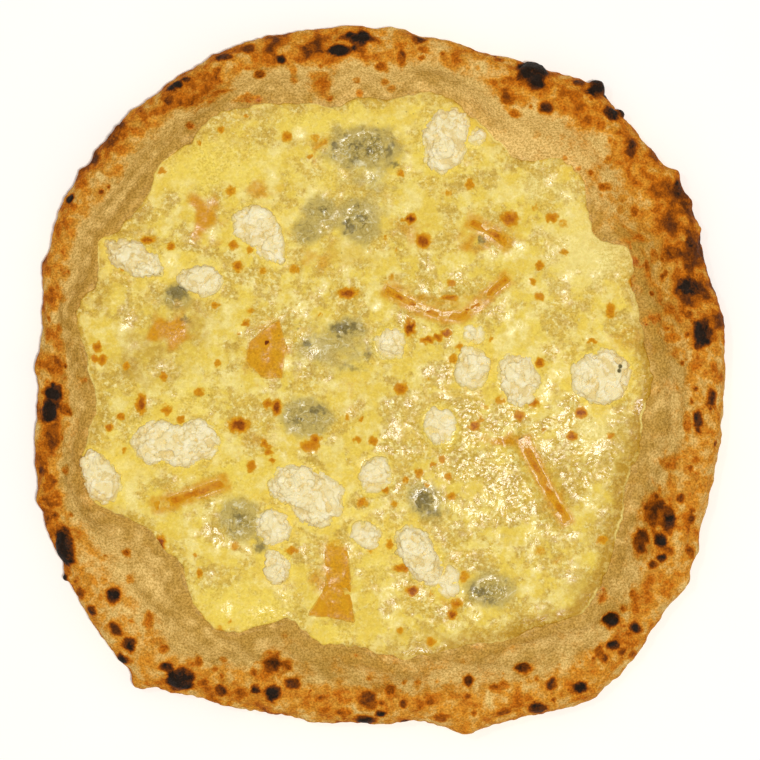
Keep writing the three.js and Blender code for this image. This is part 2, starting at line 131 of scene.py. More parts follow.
# Charred and browned patches, as (x, y, half width, half length, darkness in per cent).
CHAR_SPOTS = [
    (-9, 153, 7, 3, 95), (-18, 147, 6, 2.5, 100), (-43.5, 143, 2, 2, 95), (-53.5, 136, 2, 2, 70),
    (9.5, 144, 2, 3, 70), (20, 148, 2, 2, 60), (17, 153, 3.5, 2, 75), (0.5, 140.5, 2, 2, 65),
    (-58, 148.5, 2.5, 2.5, 70), (-55.5, 144, 2, 2, 60), (-70, 144.5, 4, 2, 85), (-94, 130.5, 2.5, 1.5, 90),
    (-90.5, 132, 2.5, 1.5, 90), (-87, 134, 2, 1.5, 85), (-79, 132, 10, 6.5, 55), (-73, 137.5, 2, 2, 60),
    (-94, 125, 2, 2.5, 75), (-87, 126, 9, 3.5, 60), (-58.5, 126.5, 5.5, 2, 50), (-85, 114, 2, 1.5, 55),
    (-99, 122.5, 2, 2, 40), (-106, 117, 2, 2, 35), (-101.5, 115.5, 2, 2, 40), (-96.5, 118.5, 2, 2, 45),
    (-117.5, 113.5, 2.5, 1.5, 70), (-121.5, 108, 2, 2, 65), (-126, 102.5, 1.5, 2.5, 60),
    (-131.5, 96.5, 2, 2.5, 60), (-139.5, 81, 2, 2, 100), (-137.5, 77.5, 2, 2, 60), (-133, 89.5, 2, 2, 50),
    (-130.5, 84.5, 2, 2, 40), (-144, 65, 1.5, 1.5, 50), (-142, 58, 1.5, 1.5, 45),
    (-148.5, 55, 2.5, 2.5, 50), (-38.5, 137.5, 1.5, 4.5, 45), (-26.5, 132, 4.5, 5.5, 45),
    (-22.5, 127, 1.5, 1.5, 50), (-31.5, 127, 1, 2, 40), (2, 134, 1.5, 1.5, 40), (5, 131, 1.5, 1.5, 40),
    (-10.5, 134, 1.5, 1.5, 40), (-9, 129, 1.5, 1.5, 40), (36, 139.5, 1.5, 1.5, 30),
    (44, 139.5, 1.5, 1.5, 30), (35, 145.5, 1.5, 1.5, 30), (54, 143.5, 2, 1.5, 60), (52.5, 128.5, 2, 2, 35),
    (57.5, 126, 3, 3.5, 65), (60.5, 119.5, 2, 2, 50), (74, 122, 3, 2.5, 80), (89, 133.5, 3.5, 2, 85),
    (104.5, 119.5, 4, 2.5, 95), (96.5, 128, 2.5, 2, 60), (99.5, 114, 2, 2, 50), (112, 103, 2.5, 3.5, 85),
    (117, 97, 1.5, 1.5, 40), (102.5, 98, 2, 2, 45), (101, 86.5, 2.5, 2, 50), (113, 88.5, 3.5, 3, 55),
    (108.5, 81, 2.5, 2, 45), (114, 76, 2, 2.5, 60), (108, 76.5, 2, 2, 40), (134, 86, 2, 4, 90),
    (139, 61.5, 2.5, 3.5, 90), (125, 69, 2, 2, 55), (122.5, 55, 2, 3.5, 50), (71, 110, 1.5, 1.5, 30),
    (82, 108.5, 1.5, 1.5, 30), (98.5, 95.5, 1, 1, 40), (83, 99, 1, 1, 40), (89, 94, 1, 1, 40),
    (138, 41.5, 5, 3.5, 95), (144, 20.5, 4.5, 6.5, 95), (138, 29.5, 2, 2, 70), (130.5, 31, 4, 3.5, 45),
    (131, 18.5, 4, 2, 55), (132.5, 11.5, 2, 2, 45), (135, 7.5, 1, 1, 60), (141, 10.5, 2, 2.5, 50),
    (149, 5.5, 1.5, 2.5, 60), (148.5, -7.5, 2.5, 3.5, 80), (142.5, -18.5, 2, 4.5, 90),
    (137, -20, 2, 5.5, 45), (140, -4.5, 1, 3, 40), (150.5, -32, 2, 2, 35), (141.5, -36, 1.5, 2.5, 50),
    (136.5, -36, 1.5, 5.5, 45), (130.5, -37, 5.5, 3.5, 45), (131, -47, 2, 5.5, 40),
    (138, -49.5, 2, 4.5, 45), (135, -53, 2, 2, 70), (123.5, -59, 5.5, 7, 75), (129, -61.5, 3, 6, 85),
    (125.5, -71.5, 2.5, 2.5, 100), (117, -73, 3, 5.5, 80), (126.5, -79.5, 2, 1.5, 95),
    (129, -76, 3, 2.5, 60), (122, -83, 2, 2, 80), (139.5, -62.5, 2, 2, 70), (139.5, -78, 2, 2.5, 70),
    (113, -96.5, 1.5, 2.5, 50), (100.5, -96.5, 2, 3.5, 50), (109, -102.5, 2, 2, 55),
    (114.5, -103, 2, 2, 50), (108, -111.5, 2.5, 2, 50), (114.5, -112, 3, 2.5, 85),
    (104.5, -118.5, 3, 2, 90), (98, -121.5, 2, 2.5, 70), (108, -121.5, 2, 2, 70), (100, -124.5, 2, 2, 70),
    (113, -123.5, 3, 2, 60), (90, -137.5, 3, 2.5, 90), (76.5, -136.5, 2.5, 2.5, 80),
    (64.5, -129, 3, 2.5, 85), (55.5, -136, 2, 2, 60), (70.5, -147.5, 4, 2.5, 90), (60, -146, 2.5, 1.5, 60),
    (56, -149, 3.5, 2, 60), (94.5, -127.5, 1, 1.5, 40), (40, -134.5, 2, 3, 90), (51.5, -138, 2.5, 2, 55),
    (30, -137, 2, 1.5, 45), (28, -150.5, 3.5, 2, 60), (22.5, -144, 2, 1.5, 60), (17, -137, 1.5, 2.5, 40),
    (10.5, -145, 1.5, 2, 70), (11, -153.5, 2, 1.5, 70), (4.5, -139.5, 2.5, 4, 60),
    (-5.5, -143, 4.5, 3.5, 75), (0, -149, 2, 1.5, 95), (-7, -152.5, 4.5, 2, 95), (-16, -148.5, 3.5, 2, 65),
    (-13.5, -140, 1.5, 1.5, 40), (-48.5, -127.5, 4, 4, 80), (-42, -128, 3, 3, 60),
    (-47.5, -140, 3.5, 3.5, 95), (-39.5, -135.5, 3.5, 2.5, 75), (-56, -137.5, 2, 2, 80),
    (-56.5, -131, 1.5, 2, 60), (-34, -140, 2, 2, 35), (-43, -115, 1.5, 1.5, 50),
    (-71.5, -139.5, 3, 2.5, 80), (-79, -136, 2.5, 1.5, 70), (-81, -126, 2, 2, 50),
    (-95.5, -128, 3.5, 2, 85), (-84.5, -132.5, 2, 3.5, 80), (-70, -125, 1.5, 1.5, 50),
    (-70, -132, 1.5, 1.5, 50), (-73.5, -129.5, 1.5, 1.5, 50), (-64.5, -136, 1.5, 1.5, 50),
    (-61, -139.5, 1.5, 1.5, 50), (-96.5, -120.5, 2, 2, 60), (-99, -117, 3.5, 2, 45),
    (-103, -107.5, 2, 3.5, 50), (-112.5, -118, 2.5, 3.5, 90), (-115, -124.5, 3.5, 2, 90),
    (-117.5, -111, 3, 3, 75), (-119.5, -96, 2.5, 3.5, 95), (-128.5, -102.5, 2, 2.5, 80),
    (-134, -95, 2, 2.5, 70), (-123, -90, 2, 2, 40), (-114, -77.5, 1.5, 1.5, 70), (-112, -89, 2, 2, 40),
    (-145.5, -61.5, 2, 2, 70), (-149.5, -61.5, 1, 2, 70), (-145.5, -5.5, 4, 4, 95),
    (-148, -14, 3.5, 6, 100), (-141.5, -13.5, 2.5, 2.5, 70), (-142, -20, 3.5, 2, 40),
    (-133, 0, 1.5, 1.5, 45), (-143.5, 22.5, 1.5, 2.5, 55), (-145.5, 16, 1, 2, 50),
    (-148, 10.5, 1.5, 1.5, 45), (-142, 36, 3.5, 2, 40), (-148, 52, 2, 4.5, 45), (-148.5, -33.5, 2, 2, 60),
    (-151, -41, 4, 2, 75), (-147.5, -43.5, 2.5, 2, 65), (-140.5, -41, 2, 2, 50),
    (-148.5, -47.5, 2, 2.5, 60),
]
# Creases in the rim, as (bearing from, to, ring, depth).
CREASES = [
    (318, 352, 0.62, 0.7), (62, 102, 0.42, 0.5), (236, 262, 0.36, 0.6), (20, 46, 0.5, 0.4),
    (276, 300, 0.5, 0.4),
]
# How brown the dough is between the spots, as (bearing, outside, crest, inside).
TOAST = [
    (0, 0.3, 0.33, 0.15), (20, 0.74, 0.7, 0.38), (40, 0.5, 0.42, 0.2), (60, 0.44, 0.42, 0.1),
    (80, 0.31, 0.32, 0.08), (100, 0.42, 0.54, 0.09), (120, 0.46, 0.42, 0.06), (140, 0.54, 0.36, 0.1),
    (160, 0.4, 0.3, 0.04), (180, 0.42, 0.55, 0.14), (200, 0.52, 0.44, 0.12), (220, 0.28, 0.25, 0.1),
    (240, 0.44, 0.38, 0.08), (260, 0.33, 0.35, 0.2), (280, 0.3, 0.36, 0.2), (300, 0.3, 0.34, 0.15),
    (320, 0.31, 0.43, 0.15), (340, 0.29, 0.4, 0.12),
]
# How oily the inside of the rim is, as (bearing, oil).
OILY_RIM = [
    (0, 0.6), (20, 0.8), (40, 0.35), (60, 0.12), (80, 0.4), (100, 0.4), (120, 0.6), (140, 0.75),
    (160, 0.6), (180, 0.7), (200, 0.6), (220, 0.8), (240, 0.8), (260, 0.75), (280, 0.5), (300, 0.7),
    (320, 0.6), (340, 0.7),
]
# How brown a spot is from its middle outwards, in shares of its half width.
SPOT_FADE = ([0, 0.65, 0.95, 1.15, 1.6, 2.2], [1, 0.97, 0.83, 0.56, 0.3, 0])

# ---------- the melted cheese ----------

# Browned blisters, in the same form as the char spots.
CHEESE_SPOTS = [
    (-98, 94, 1.5, 1.5, 60), (-81.5, 106.5, 1, 1, 60), (-71.5, 112.5, 1.5, 1.5, 60),
    (-60.5, 119, 1, 1, 60), (-67, 85, 2, 2, 60), (-66, 60.5, 2, 2, 65), (-58.5, 58.5, 1.5, 1.5, 50),
    (-104.5, 63, 3, 1.5, 85), (-94, 60, 1.5, 1.5, 85), (-110.5, 86, 1.5, 2, 60), (-112.5, 80.5, 1, 1, 60),
    (-42, 109.5, 2, 2, 70), (-29, 109, 2, 2, 35), (-31.5, 100.5, 1, 1, 50), (9.5, 93, 1.5, 1.5, 65),
    (40.5, 88, 2, 2.5, 55), (30.5, 84, 2, 2, 35), (14, 72.5, 2, 2, 100), (10.5, 72, 1, 1, 55),
    (19.5, 62.5, 3, 3, 90), (2.5, 64, 1, 1, 40), (7.5, 58.5, 1, 1, 35), (58.5, 72.5, 3.5, 3, 80),
    (77.5, 73, 2.5, 2, 70), (69.5, 77.5, 1.5, 1.5, 35), (83, 70.5, 2, 2, 35), (83, 57.5, 1.5, 1.5, 50),
    (-64, 51, 2, 2, 80), (-74, 33.5, 1.5, 1.5, 55), (-58, 31, 1.5, 1.5, 50), (-60.5, 25.5, 1.5, 1.5, 75),
    (-63.5, 21, 1, 1, 50), (-116, 50.5, 1.5, 1.5, 55), (-53, 49, 1.5, 1.5, 45), (-38.5, 49.5, 2, 2, 55),
    (-14.5, 39, 4, 2, 90), (5.5, 46, 1.5, 1.5, 40), (-27, 29, 1, 1, 50), (32, 43.5, 1.5, 1.5, 60),
    (31.5, 37, 3.5, 1, 80), (39.5, 31.5, 1, 1, 100), (-46.5, -12.5, 2, 3, 95), (-50.5, -11, 2, 2, 70),
    (-31.5, -30, 4, 2.5, 65), (-29, -27, 2, 2, 80), (-8.5, -18, 1, 1, 60), (-10, -27, 1.5, 1.5, 60),
    (-3, -27.5, 2, 2, 60), (-14.5, -17, 1.5, 1.5, 50), (9.5, -4, 2.5, 2.5, 75), (13.5, 23.5, 2, 3.5, 95),
    (21.5, 18, 3, 1.5, 80), (26, 19, 2, 1.5, 75), (30, 21, 2.5, 1.5, 80), (36, 15, 1.5, 1.5, 60),
    (33, 9.5, 2, 2, 50), (50, 18.5, 1, 1, 45), (22, 0, 1, 1, 40), (-127.5, 14.5, 2, 2, 75),
    (-128.5, 9.5, 1.5, 1.5, 70), (-125, 9, 2, 2, 75), (-114, 6, 1.5, 1.5, 60), (-97.5, 1.5, 1.5, 2, 60),
    (-81.5, -5.5, 2, 2, 60), (-107.5, -11, 2, 4, 90), (-96, -13.5, 2, 2, 70), (-90, -18, 1.5, 1.5, 65),
    (-117, -16.5, 1.5, 1.5, 80), (-121.5, -21.5, 1.5, 1.5, 75), (-115, -31.5, 1, 1, 55),
    (-63.5, -20.5, 4, 3, 95), (-58, -39, 2, 2.5, 70), (-73, 7.5, 1.5, 1.5, 50), (-52, -28.5, 1.5, 2, 75),
    (-50, -32, 1.5, 2, 75), (-48.5, -36, 1, 2, 70), (42.5, -21, 2, 2, 80), (45.5, -18, 1.5, 1.5, 45),
    (63, -16.5, 2, 2, 80), (69.5, -10.5, 2, 2, 75), (72, 7.5, 2, 2, 75), (90.5, -15, 2.5, 2, 90),
    (86.5, -25.5, 2, 2, 85), (74, -22.5, 1, 1, 45), (104, -25.5, 1.5, 1.5, 60), (96, 17.5, 2, 1, 60),
    (104, 31, 2, 3.5, 65), (114, 44, 2, 2, 60), (72, 51.5, 2, 2, 60), (69, 44.5, 1.5, 1.5, 60),
    (72, 37.5, 2, 2, 60), (28, -36, 1.5, 1.5, 60), (24, -38, 1, 1, 60), (17.5, -42, 1.5, 2, 60),
    (11.5, -45, 1, 1.5, 55), (21, -47.5, 1, 1, 45), (31, -43.5, 1.5, 1.5, 60), (32, -52.5, 2, 1.5, 55),
    (2.5, -49.5, 1.5, 1.5, 65), (-8, -55.5, 2, 2, 65), (6.5, -56, 1.5, 1.5, 50), (54, -9.5, 2, 2, 45),
    (47.5, -12.5, 1.5, 1.5, 35), (-99, -74, 2, 3.5, 95), (-81, -87.5, 1.5, 2, 65), (-83, -79.5, 1, 1, 45),
    (-81, -107, 2, 1.5, 30), (-72, -112.5, 2, 1.5, 30), (-67.5, -109, 1, 1, 40), (-39.5, -77, 3, 1.5, 60),
    (-53.5, -65.5, 1.5, 1.5, 35), (-4.5, -77, 2, 1, 35), (4.5, -74, 1.5, 2, 60), (10, -85, 3.5, 1.5, 75),
    (14.5, -95, 2.5, 2, 90), (23, -96.5, 1.5, 1.5, 35), (34.5, -101, 2, 2, 80), (32.5, -106, 2, 2, 85),
    (23, -118, 2, 2, 60), (9, -113, 1.5, 1.5, 50), (38, -88.5, 2.5, 2.5, 45), (100, -72, 2, 2, 60),
    (72, -77, 2.5, 2.5, 30), (-65.5, -75, 2, 2, 40), (-20, -77, 5, 6, 30), (-20, -87, 3, 5, 22),
    (-51, 16.7, 0.8, 1.3, 130), (-46, 16, 3, 7, 32), (-57, 8, 4, 4, 26), (-50, 2, 6, 2.5, 22),
]
# Soft areas of colour, as (x, y, half width, half length, strength in per cent).
AREAS = {
    "shadow": [
        (116, -62, 7, 16, 70), (106, -86, 6, 10, 60), (94, -105, 12, 5, 60), (122, -40, 5, 10, 60),
        (122, 5, 5, 14, 30), (-108, 72, 5, 12, 40), (-124, 36, 4, 10, 40), (86, -46, 22, 18, 32),
        (-110, 10, 14, 20, 44), (-88, 24, 20, 14, 40),
    ],
    "pale": [
        (94.5, 58.5, 25, 22.5, 60), (94.5, -22.5, 11, 8, 70), (74, 85.5, 18, 9, 40),
        (-47.5, -27, 6.5, 4, 50), (103.5, 81, 7, 6.5, 40), (54, 85.5, 11.5, 6.5, 30),
        (-112.5, -40.5, 11.5, 6.5, 40), (117, 36, 6.5, 18, 40), (0, 79, 8, 7, 30),
    ],
    "bright": [
        (-76.5, 97, 31.5, 16, 60), (-22.5, 117, 31.5, 7, 60), (-61, -103.5, 27, 11.5, 80),
        (-22.5, -115, 27, 4.5, 60), (-103.5, -22.5, 18, 8, 40), (18, 99, 10, 18, 40),
        (-22.5, 90, 11.5, 13.5, 40), (-85.5, -9, 18, 15.5, 40), (-67.5, -45, 18, 11.5, 40),
        (0, -81, 22.5, 18, 40), (-112.5, -72, 13.5, 11.5, 40),
    ],
    "tan": [
        (-16, 56.5, 20, 7, 50), (22.5, 67.5, 18, 10, 30), (-22.5, -22.5, 22.5, 16, 25), (81, 18, 18, 9, 20),
        (40.5, 18, 27, 11.5, 20),
    ],
    "olive": [
        (110, -33.5, 11.5, 22.5, 60), (90, -92, 10, 11.5, 50), (22.5, -116, 22.5, 6.5, 50),
        (-52, 121, 8, 4.5, 40), (-108, 70, 7, 16, 30), (-124, 36, 5.5, 11.5, 30), (72, -108, 18, 9, 40),
        (99, -72, 11, 11.5, 40), (45, -117, 11, 5.5, 40), (112.5, 63, 5.5, 13.5, 30), (-98, 12, 22, 22, 40),
        (-84, 34, 14, 9, 40),
    ],
    "amber": [
        (-79, 73, 7, 10, 90), (-94, 22.5, 10, 7, 95), (-52, 85, 9, 3.5, 50), (-27, 54, 10, 6.5, 40),
        (-29, 105.5, 3, 5.5, 70), (110, 18, 10, 7, 30), (-52, 13.5, 10, 13.5, 60), (-22, -90, 10, 18, 50),
        (54.5, -27, 10, 4, 70), (9, 40.5, 6.5, 6.5, 50), (27, 34, 25, 4.5, 45), (42.5, 63, 12.5, 5.5, 50),
        (60.5, 65.5, 11, 6.5, 35), (13.5, 67, 11.5, 5.5, 40), (77, -51.5, 6.5, 13.5, 35),
        (-88, -52.5, 16, 4.5, 40), (-11.5, -6.5, 13.5, 13.5, 20), (-54, -27, 11, 9, 30),
        (81, -81, 4.5, 3.5, 50), (32, -103.5, 3.5, 6.5, 50), (-90, 27, 9, 6.5, 40),
    ],
    "grey": [
        (-7, 105, 17, 10, 90), (-4.5, 89, 13.5, 11, 45), (-13.5, 73, 20, 8, 60), (-9.5, 72, 7, 7, 60),
        (-26, 76, 6.5, 4.5, 50), (-32.5, 67.5, 6, 4, 50), (-20.5, 14.5, 20, 12.5, 60),
        (-16, 23.5, 10, 4, 80), (-33, 16.5, 5.5, 4.5, 50), (-34, -17, 12, 7, 60), (19.5, -56, 6.5, 10, 70),
        (27, -63, 5.5, 5.5, 40),
        (49, -95, 11, 6.5, 70), (57.5, -91.5, 3.5, 3.5, 40), (-91.5, 38, 7, 6.5, 70),
        (-103.5, 36, 22.5, 13.5, 25), (-85.5, 26.5, 5.5, 4.5, 40), (-63, -62, 7, 5.5, 50),
        (-53.5, -75.5, 3.5, 4, 60), (-49, -95, 5.5, 4.5, 30), (46, 62.5, 5.5, 3.5, 40),
        (74, 22.5, 6.5, 4.5, 25), (79.5, 101.5, 6.5, 2.5, 35), (9, 74.5, 9, 3.5, 30),
    ],
}
# Dark veins and specks of the blue cheese, in the same form.
VEINS = [
    (-20.5, 105, 2, 1.5, 80), (-10.5, 105, 2, 2, 80), (-12, 99, 2.5, 1.5, 60), (-4.5, 103, 2, 1.5, 80),
    (4.5, 103.5, 1.5, 3, 80), (6.5, 97, 2, 1.5, 70), (-16, 110.5, 2.5, 1, 50), (-1, 109, 2.5, 1, 60),
    (-14.5, 69, 1.5, 2.5, 90), (-12.5, 67.5, 2, 1, 70), (-9, 73, 2.5, 1, 80), (-10, 78.5, 1, 2, 70),
    (-26, 76, 2, 1.5, 50), (-16, 23.5, 7, 2, 90), (-33, 16.5, 2, 2, 80), (-5.5, 10.5, 2, 2, 60),
    (-37.5, 24, 2, 2, 50), (-12, 5, 6.5, 1.5, 50), (-28, -13.5, 3.5, 1.5, 80), (-38, -18, 2, 2, 50),
    (19.5, -54, 3.5, 4.5, 80), (25, -60, 3, 2, 60), (45, -96, 3.5, 1.5, 80), (49.5, -99.5, 2, 1.5, 70),
    (42, -93.5, 1.5, 2, 60), (58, -91.5, 1, 2, 50), (-91.5, 39.5, 5, 3, 85), (-87.5, 27, 2, 2, 70),
    (-53.5, -75.5, 2.5, 3, 70), (-63, -62, 2.5, 2, 50), (46, 62.5, 2, 1.5, 80), (63.5, -26.5, 1, 1, 100),
    (108, 6, 1, 1, 100), (107.5, 4, 1, 1, 100),
]
# Areas of small wet lumps, in the same form.
PEBBLED = [
    (58, -36, 56, 44, 100), (-80, 70, 14, 14, 40), (-94, 22, 18, 12, 45), (-40, 20, 30, 26, 40),
    (-116, 60, 12, 16, 60), (30, -98, 34, 22, 70), (100, -30, 22, 40, 60), (-22, -88, 14, 18, 50),
    (-80, -48, 20, 10, 60), (30, 36, 40, 20, 60), (70, 50, 40, 30, 30), (-12, 104, 20, 14, 50),
    (-15, 72, 20, 12, 50), (-40, -25, 20, 14, 50), (-120, 40, 10, 20, 60), (-75, -68, 14, 12, 60),
    (-58, -106, 26, 12, 60), (-104, 92, 12, 14, 60), (84, 92, 20, 8, 50),
]
# How olive the melt is along its edge, as (bearing, strength).
OLIVE_EDGE = [
    (0, 0.7), (30, 0.2), (60, 0.3), (90, 0.3), (120, 0.1), (150, 0.25), (180, 0.3), (210, 0.3), (240, 0),
    (270, 0.2), (300, 0.9), (330, 1),
]
# The cheese's edge is rounded over LIP, up to a share of its height, and then slopes up over LIP_SLOPE.
LIP, LIP_SLOPE, LIP_SHARE = 2.0, 9, 0.34
EDGE_WIGGLES = [(0.8, 30, 41), (0.4, 12, 42), (0.22, 5, 43)]  # (amplitude, length, seed)

RICOTTA = [f"ricotta_{i + 1}" for i in range(20)]
BLUE_CHEESE = [f"blue_cheese_{i + 1}" for i in range(10)]
SLICES = [f"smoked_slice_{i + 1}" for i in range(2)]
RINDS = [f"smoked_rind_{i + 1}" for i in range(4)]
# How the melt climbs to the toppings that melted, as (nodes, width, how far below their tops it ends).
CLIMBS = [(BLUE_CHEESE, 3, 0.8), (SLICES, 4, 0.35), (RINDS, 3.5, 0.12)]


# ---------- curves, waves and lumps ----------


def closed_curve(knots, bearings):
    """Values at bearings, on a smooth closed curve through (bearing, value) knots."""
    at, value = np.array(knots, float).T
    at = np.concatenate((at[-2:] - 360, at, at[:2] + 360))
    value = np.concatenate((value[-2:], value, value[:2]))
    slope = np.gradient(value, at)
    slope[1:-1] = (value[2:] - value[:-2]) / (at[2:] - at[:-2])
    turn = np.mod(bearings, 360)
    k = np.clip(np.searchsorted(at, turn, side="right") - 1, 1, len(at) - 3)
    step = at[k + 1] - at[k]
    t = (turn - at[k]) / step
    rise = value[k + 1] - value[k]
    leaving, arriving = slope[k] * step, slope[k + 1] * step
    square, cube = 3 * rise - 2 * leaving - arriving, leaving + arriving - 2 * rise
    return value[k] + leaving * t + square * t**2 + cube * t**3


def hump(x):
    """1 at zero, falling smoothly to 0 at plus or minus one."""
    return np.where(np.abs(x) < 1, (1 + np.cos(np.pi * x)) / 2, 0)


def ease(x, low, high):
    """0 below low, 1 above high, and smooth between them."""
    t = np.clip((x - low) / (high - low), 0, 1)
    return t * t * (3 - 2 * t)


def fade(x, width):
    """1 at zero, falling off over a width on both sides."""
    return np.exp(-((x / width) ** 2))


def ring_waves(waves, bearing, shift=0):
    """Waves that run round the pizza."""
    return sum(size * np.sin(turns * np.radians(bearing) + phase + shift) for size, turns, phase in waves)


def ripple(points, length, seed, count=24):
    """Smooth lumps of about -2 to 2 at points, about length apart and the same each run."""
    rng = np.random.default_rng(seed)
    way = rng.normal(size=(count, points.shape[1]))
    way /= np.linalg.norm(way, axis=1)[:, None]
    turns = 2 * np.pi * way / (length * rng.uniform(0.75, 1.35, count))[:, None]
    return np.sqrt(2 / count) * np.sin(points @ turns.T + rng.uniform(0, 2 * np.pi, count)).sum(axis=1)


def sway(points, length, seed):
    """A smooth push of the points this way and that, along each axis."""
    return np.column_stack([ripple(points, length, seed + axis) for axis in range(points.shape[1])])


def curds(points, size, seed):
    """Distance to the nearest of scattered middles and how much further the next is, as shares of size."""
    table = 32
    dims = points.shape[1]
    jitter = np.random.default_rng(seed).random((table,) * dims + (dims,))
    place = points / size
    home = np.floor(place).astype(int)
    nearest = np.full(len(points), 9.0)
    second = nearest.copy()
    for step in itertools.product((-1, 0, 1), repeat=dims):
        cell = home + step
        away = np.linalg.norm(place - cell - jitter[tuple((cell % table).T)], axis=1)
        second = np.minimum(second, np.maximum(nearest, away))
        nearest = np.minimum(nearest, away)
    return nearest, second - nearest


def spread(points, spot, profile):
    """Which points an oval spot reaches, and its strength there by its profile from the middle out."""
    x, y, half_x, half_y = spot[:4]
    reach = profile[0][-1]
    away = points - (x, y)
    near = np.flatnonzero((np.abs(away[:, 0]) < reach * half_x) & (np.abs(away[:, 1]) < reach * half_y))
    share = np.hypot(away[near, 0] / half_x, away[near, 1] / half_y)
    return near, np.interp(share, *profile)


def painted(points, spots, profile):
    """The strongest of many spots at each point."""
    total = np.zeros(len(points))
    for spot in spots:
        near, strength = spread(points, spot, profile)
        total[near] = np.maximum(total[near], spot[4] / 100 * strength)
    return total


# ---------- meshes ----------


def vectors(items, name):
    """One vector of each of a mesh's items, as rows."""
    flat = np.empty(len(items) * 3)
    items.foreach_get(name, flat)
    return flat.reshape(-1, 3)


def points_of(mesh):
    """A mesh's points in millimetres."""
    return vectors(mesh.vertices, "co") / MM


def facing(mesh):
    """Which way the surface faces at each point."""
    return vectors(mesh.vertex_normals, "vector")


def move_points(mesh, points):
    mesh.vertices.foreach_set("co", (points * MM).ravel())
    mesh.update()


def finished(bm, mesh):
    """Writes a bmesh to a mesh and frees it."""
    bm.to_mesh(mesh)
    bm.free()
    return mesh


def face_outwards(mesh):
    bm = bmesh.new()
    bm.from_mesh(mesh)
    bmesh.ops.recalc_face_normals(bm, faces=bm.faces)
    finished(bm, mesh)


def flat_tree(points, chosen):
    """Finds the nearest of some chosen points, seen from above."""
    tree = KDTree(len(chosen))
    for index in chosen:
        tree.insert((points[index, 0], points[index, 1], 0), int(index))
    tree.balance()
    return tree


def store(mesh, name, values):
    """Keeps one number at each point, for the material to read."""
    mesh.attributes.new(name, "FLOAT", "POINT").data.foreach_set("value", values.astype(np.float32))


def add_piece(name, mesh, material, slot, *nodes):
    """Makes a finished mesh a piece of the pizza that stands for CAD nodes."""
    mesh.polygons.foreach_set("use_smooth", np.ones(len(mesh.polygons), bool))
    mesh.materials.clear()
    mesh.materials.append(material)
    piece = bpy.data.objects.new(name, mesh)
    bpy.context.scene.collection.objects.link(piece)
    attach(piece, BODY)
    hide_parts(*nodes)
    return piece


def evened(node, voxel, rounds):
    """A copy of a CAD solid with small even faces and its corners smoothed away."""
    bm = bmesh.new()
    bm.from_mesh(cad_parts[node].data)
    bmesh.ops.remove_doubles(bm, verts=bm.verts, dist=MM * 0.001)
    mesh = finished(bm, bpy.data.meshes.new(node))
    rough = bpy.data.objects.new("rough", mesh)
    bpy.context.scene.collection.objects.link(rough)
    remesh = rough.modifiers.new("even faces", "REMESH")
    remesh.mode = "VOXEL"
    remesh.voxel_size = voxel * MM
    smooth = rough.modifiers.new("soft corners", "SMOOTH")
    smooth.iterations = rounds
    made = bpy.data.meshes.new_from_object(rough.evaluated_get(bpy.context.evaluated_depsgraph_get()))
    bpy.data.objects.remove(rough)
    bpy.data.meshes.remove(mesh)
    return made


# ---------- materials ----------


def shade(code):
    """Linear red, green and blue of a colour written as #rrggbb."""
    levels = [int(code[i : i + 2], 16) / 255 for i in (1, 3, 5)]
    return tuple(v / 12.92 if v <= 0.04045 else ((v + 0.055) / 1.055) ** 2.4 for v in levels)


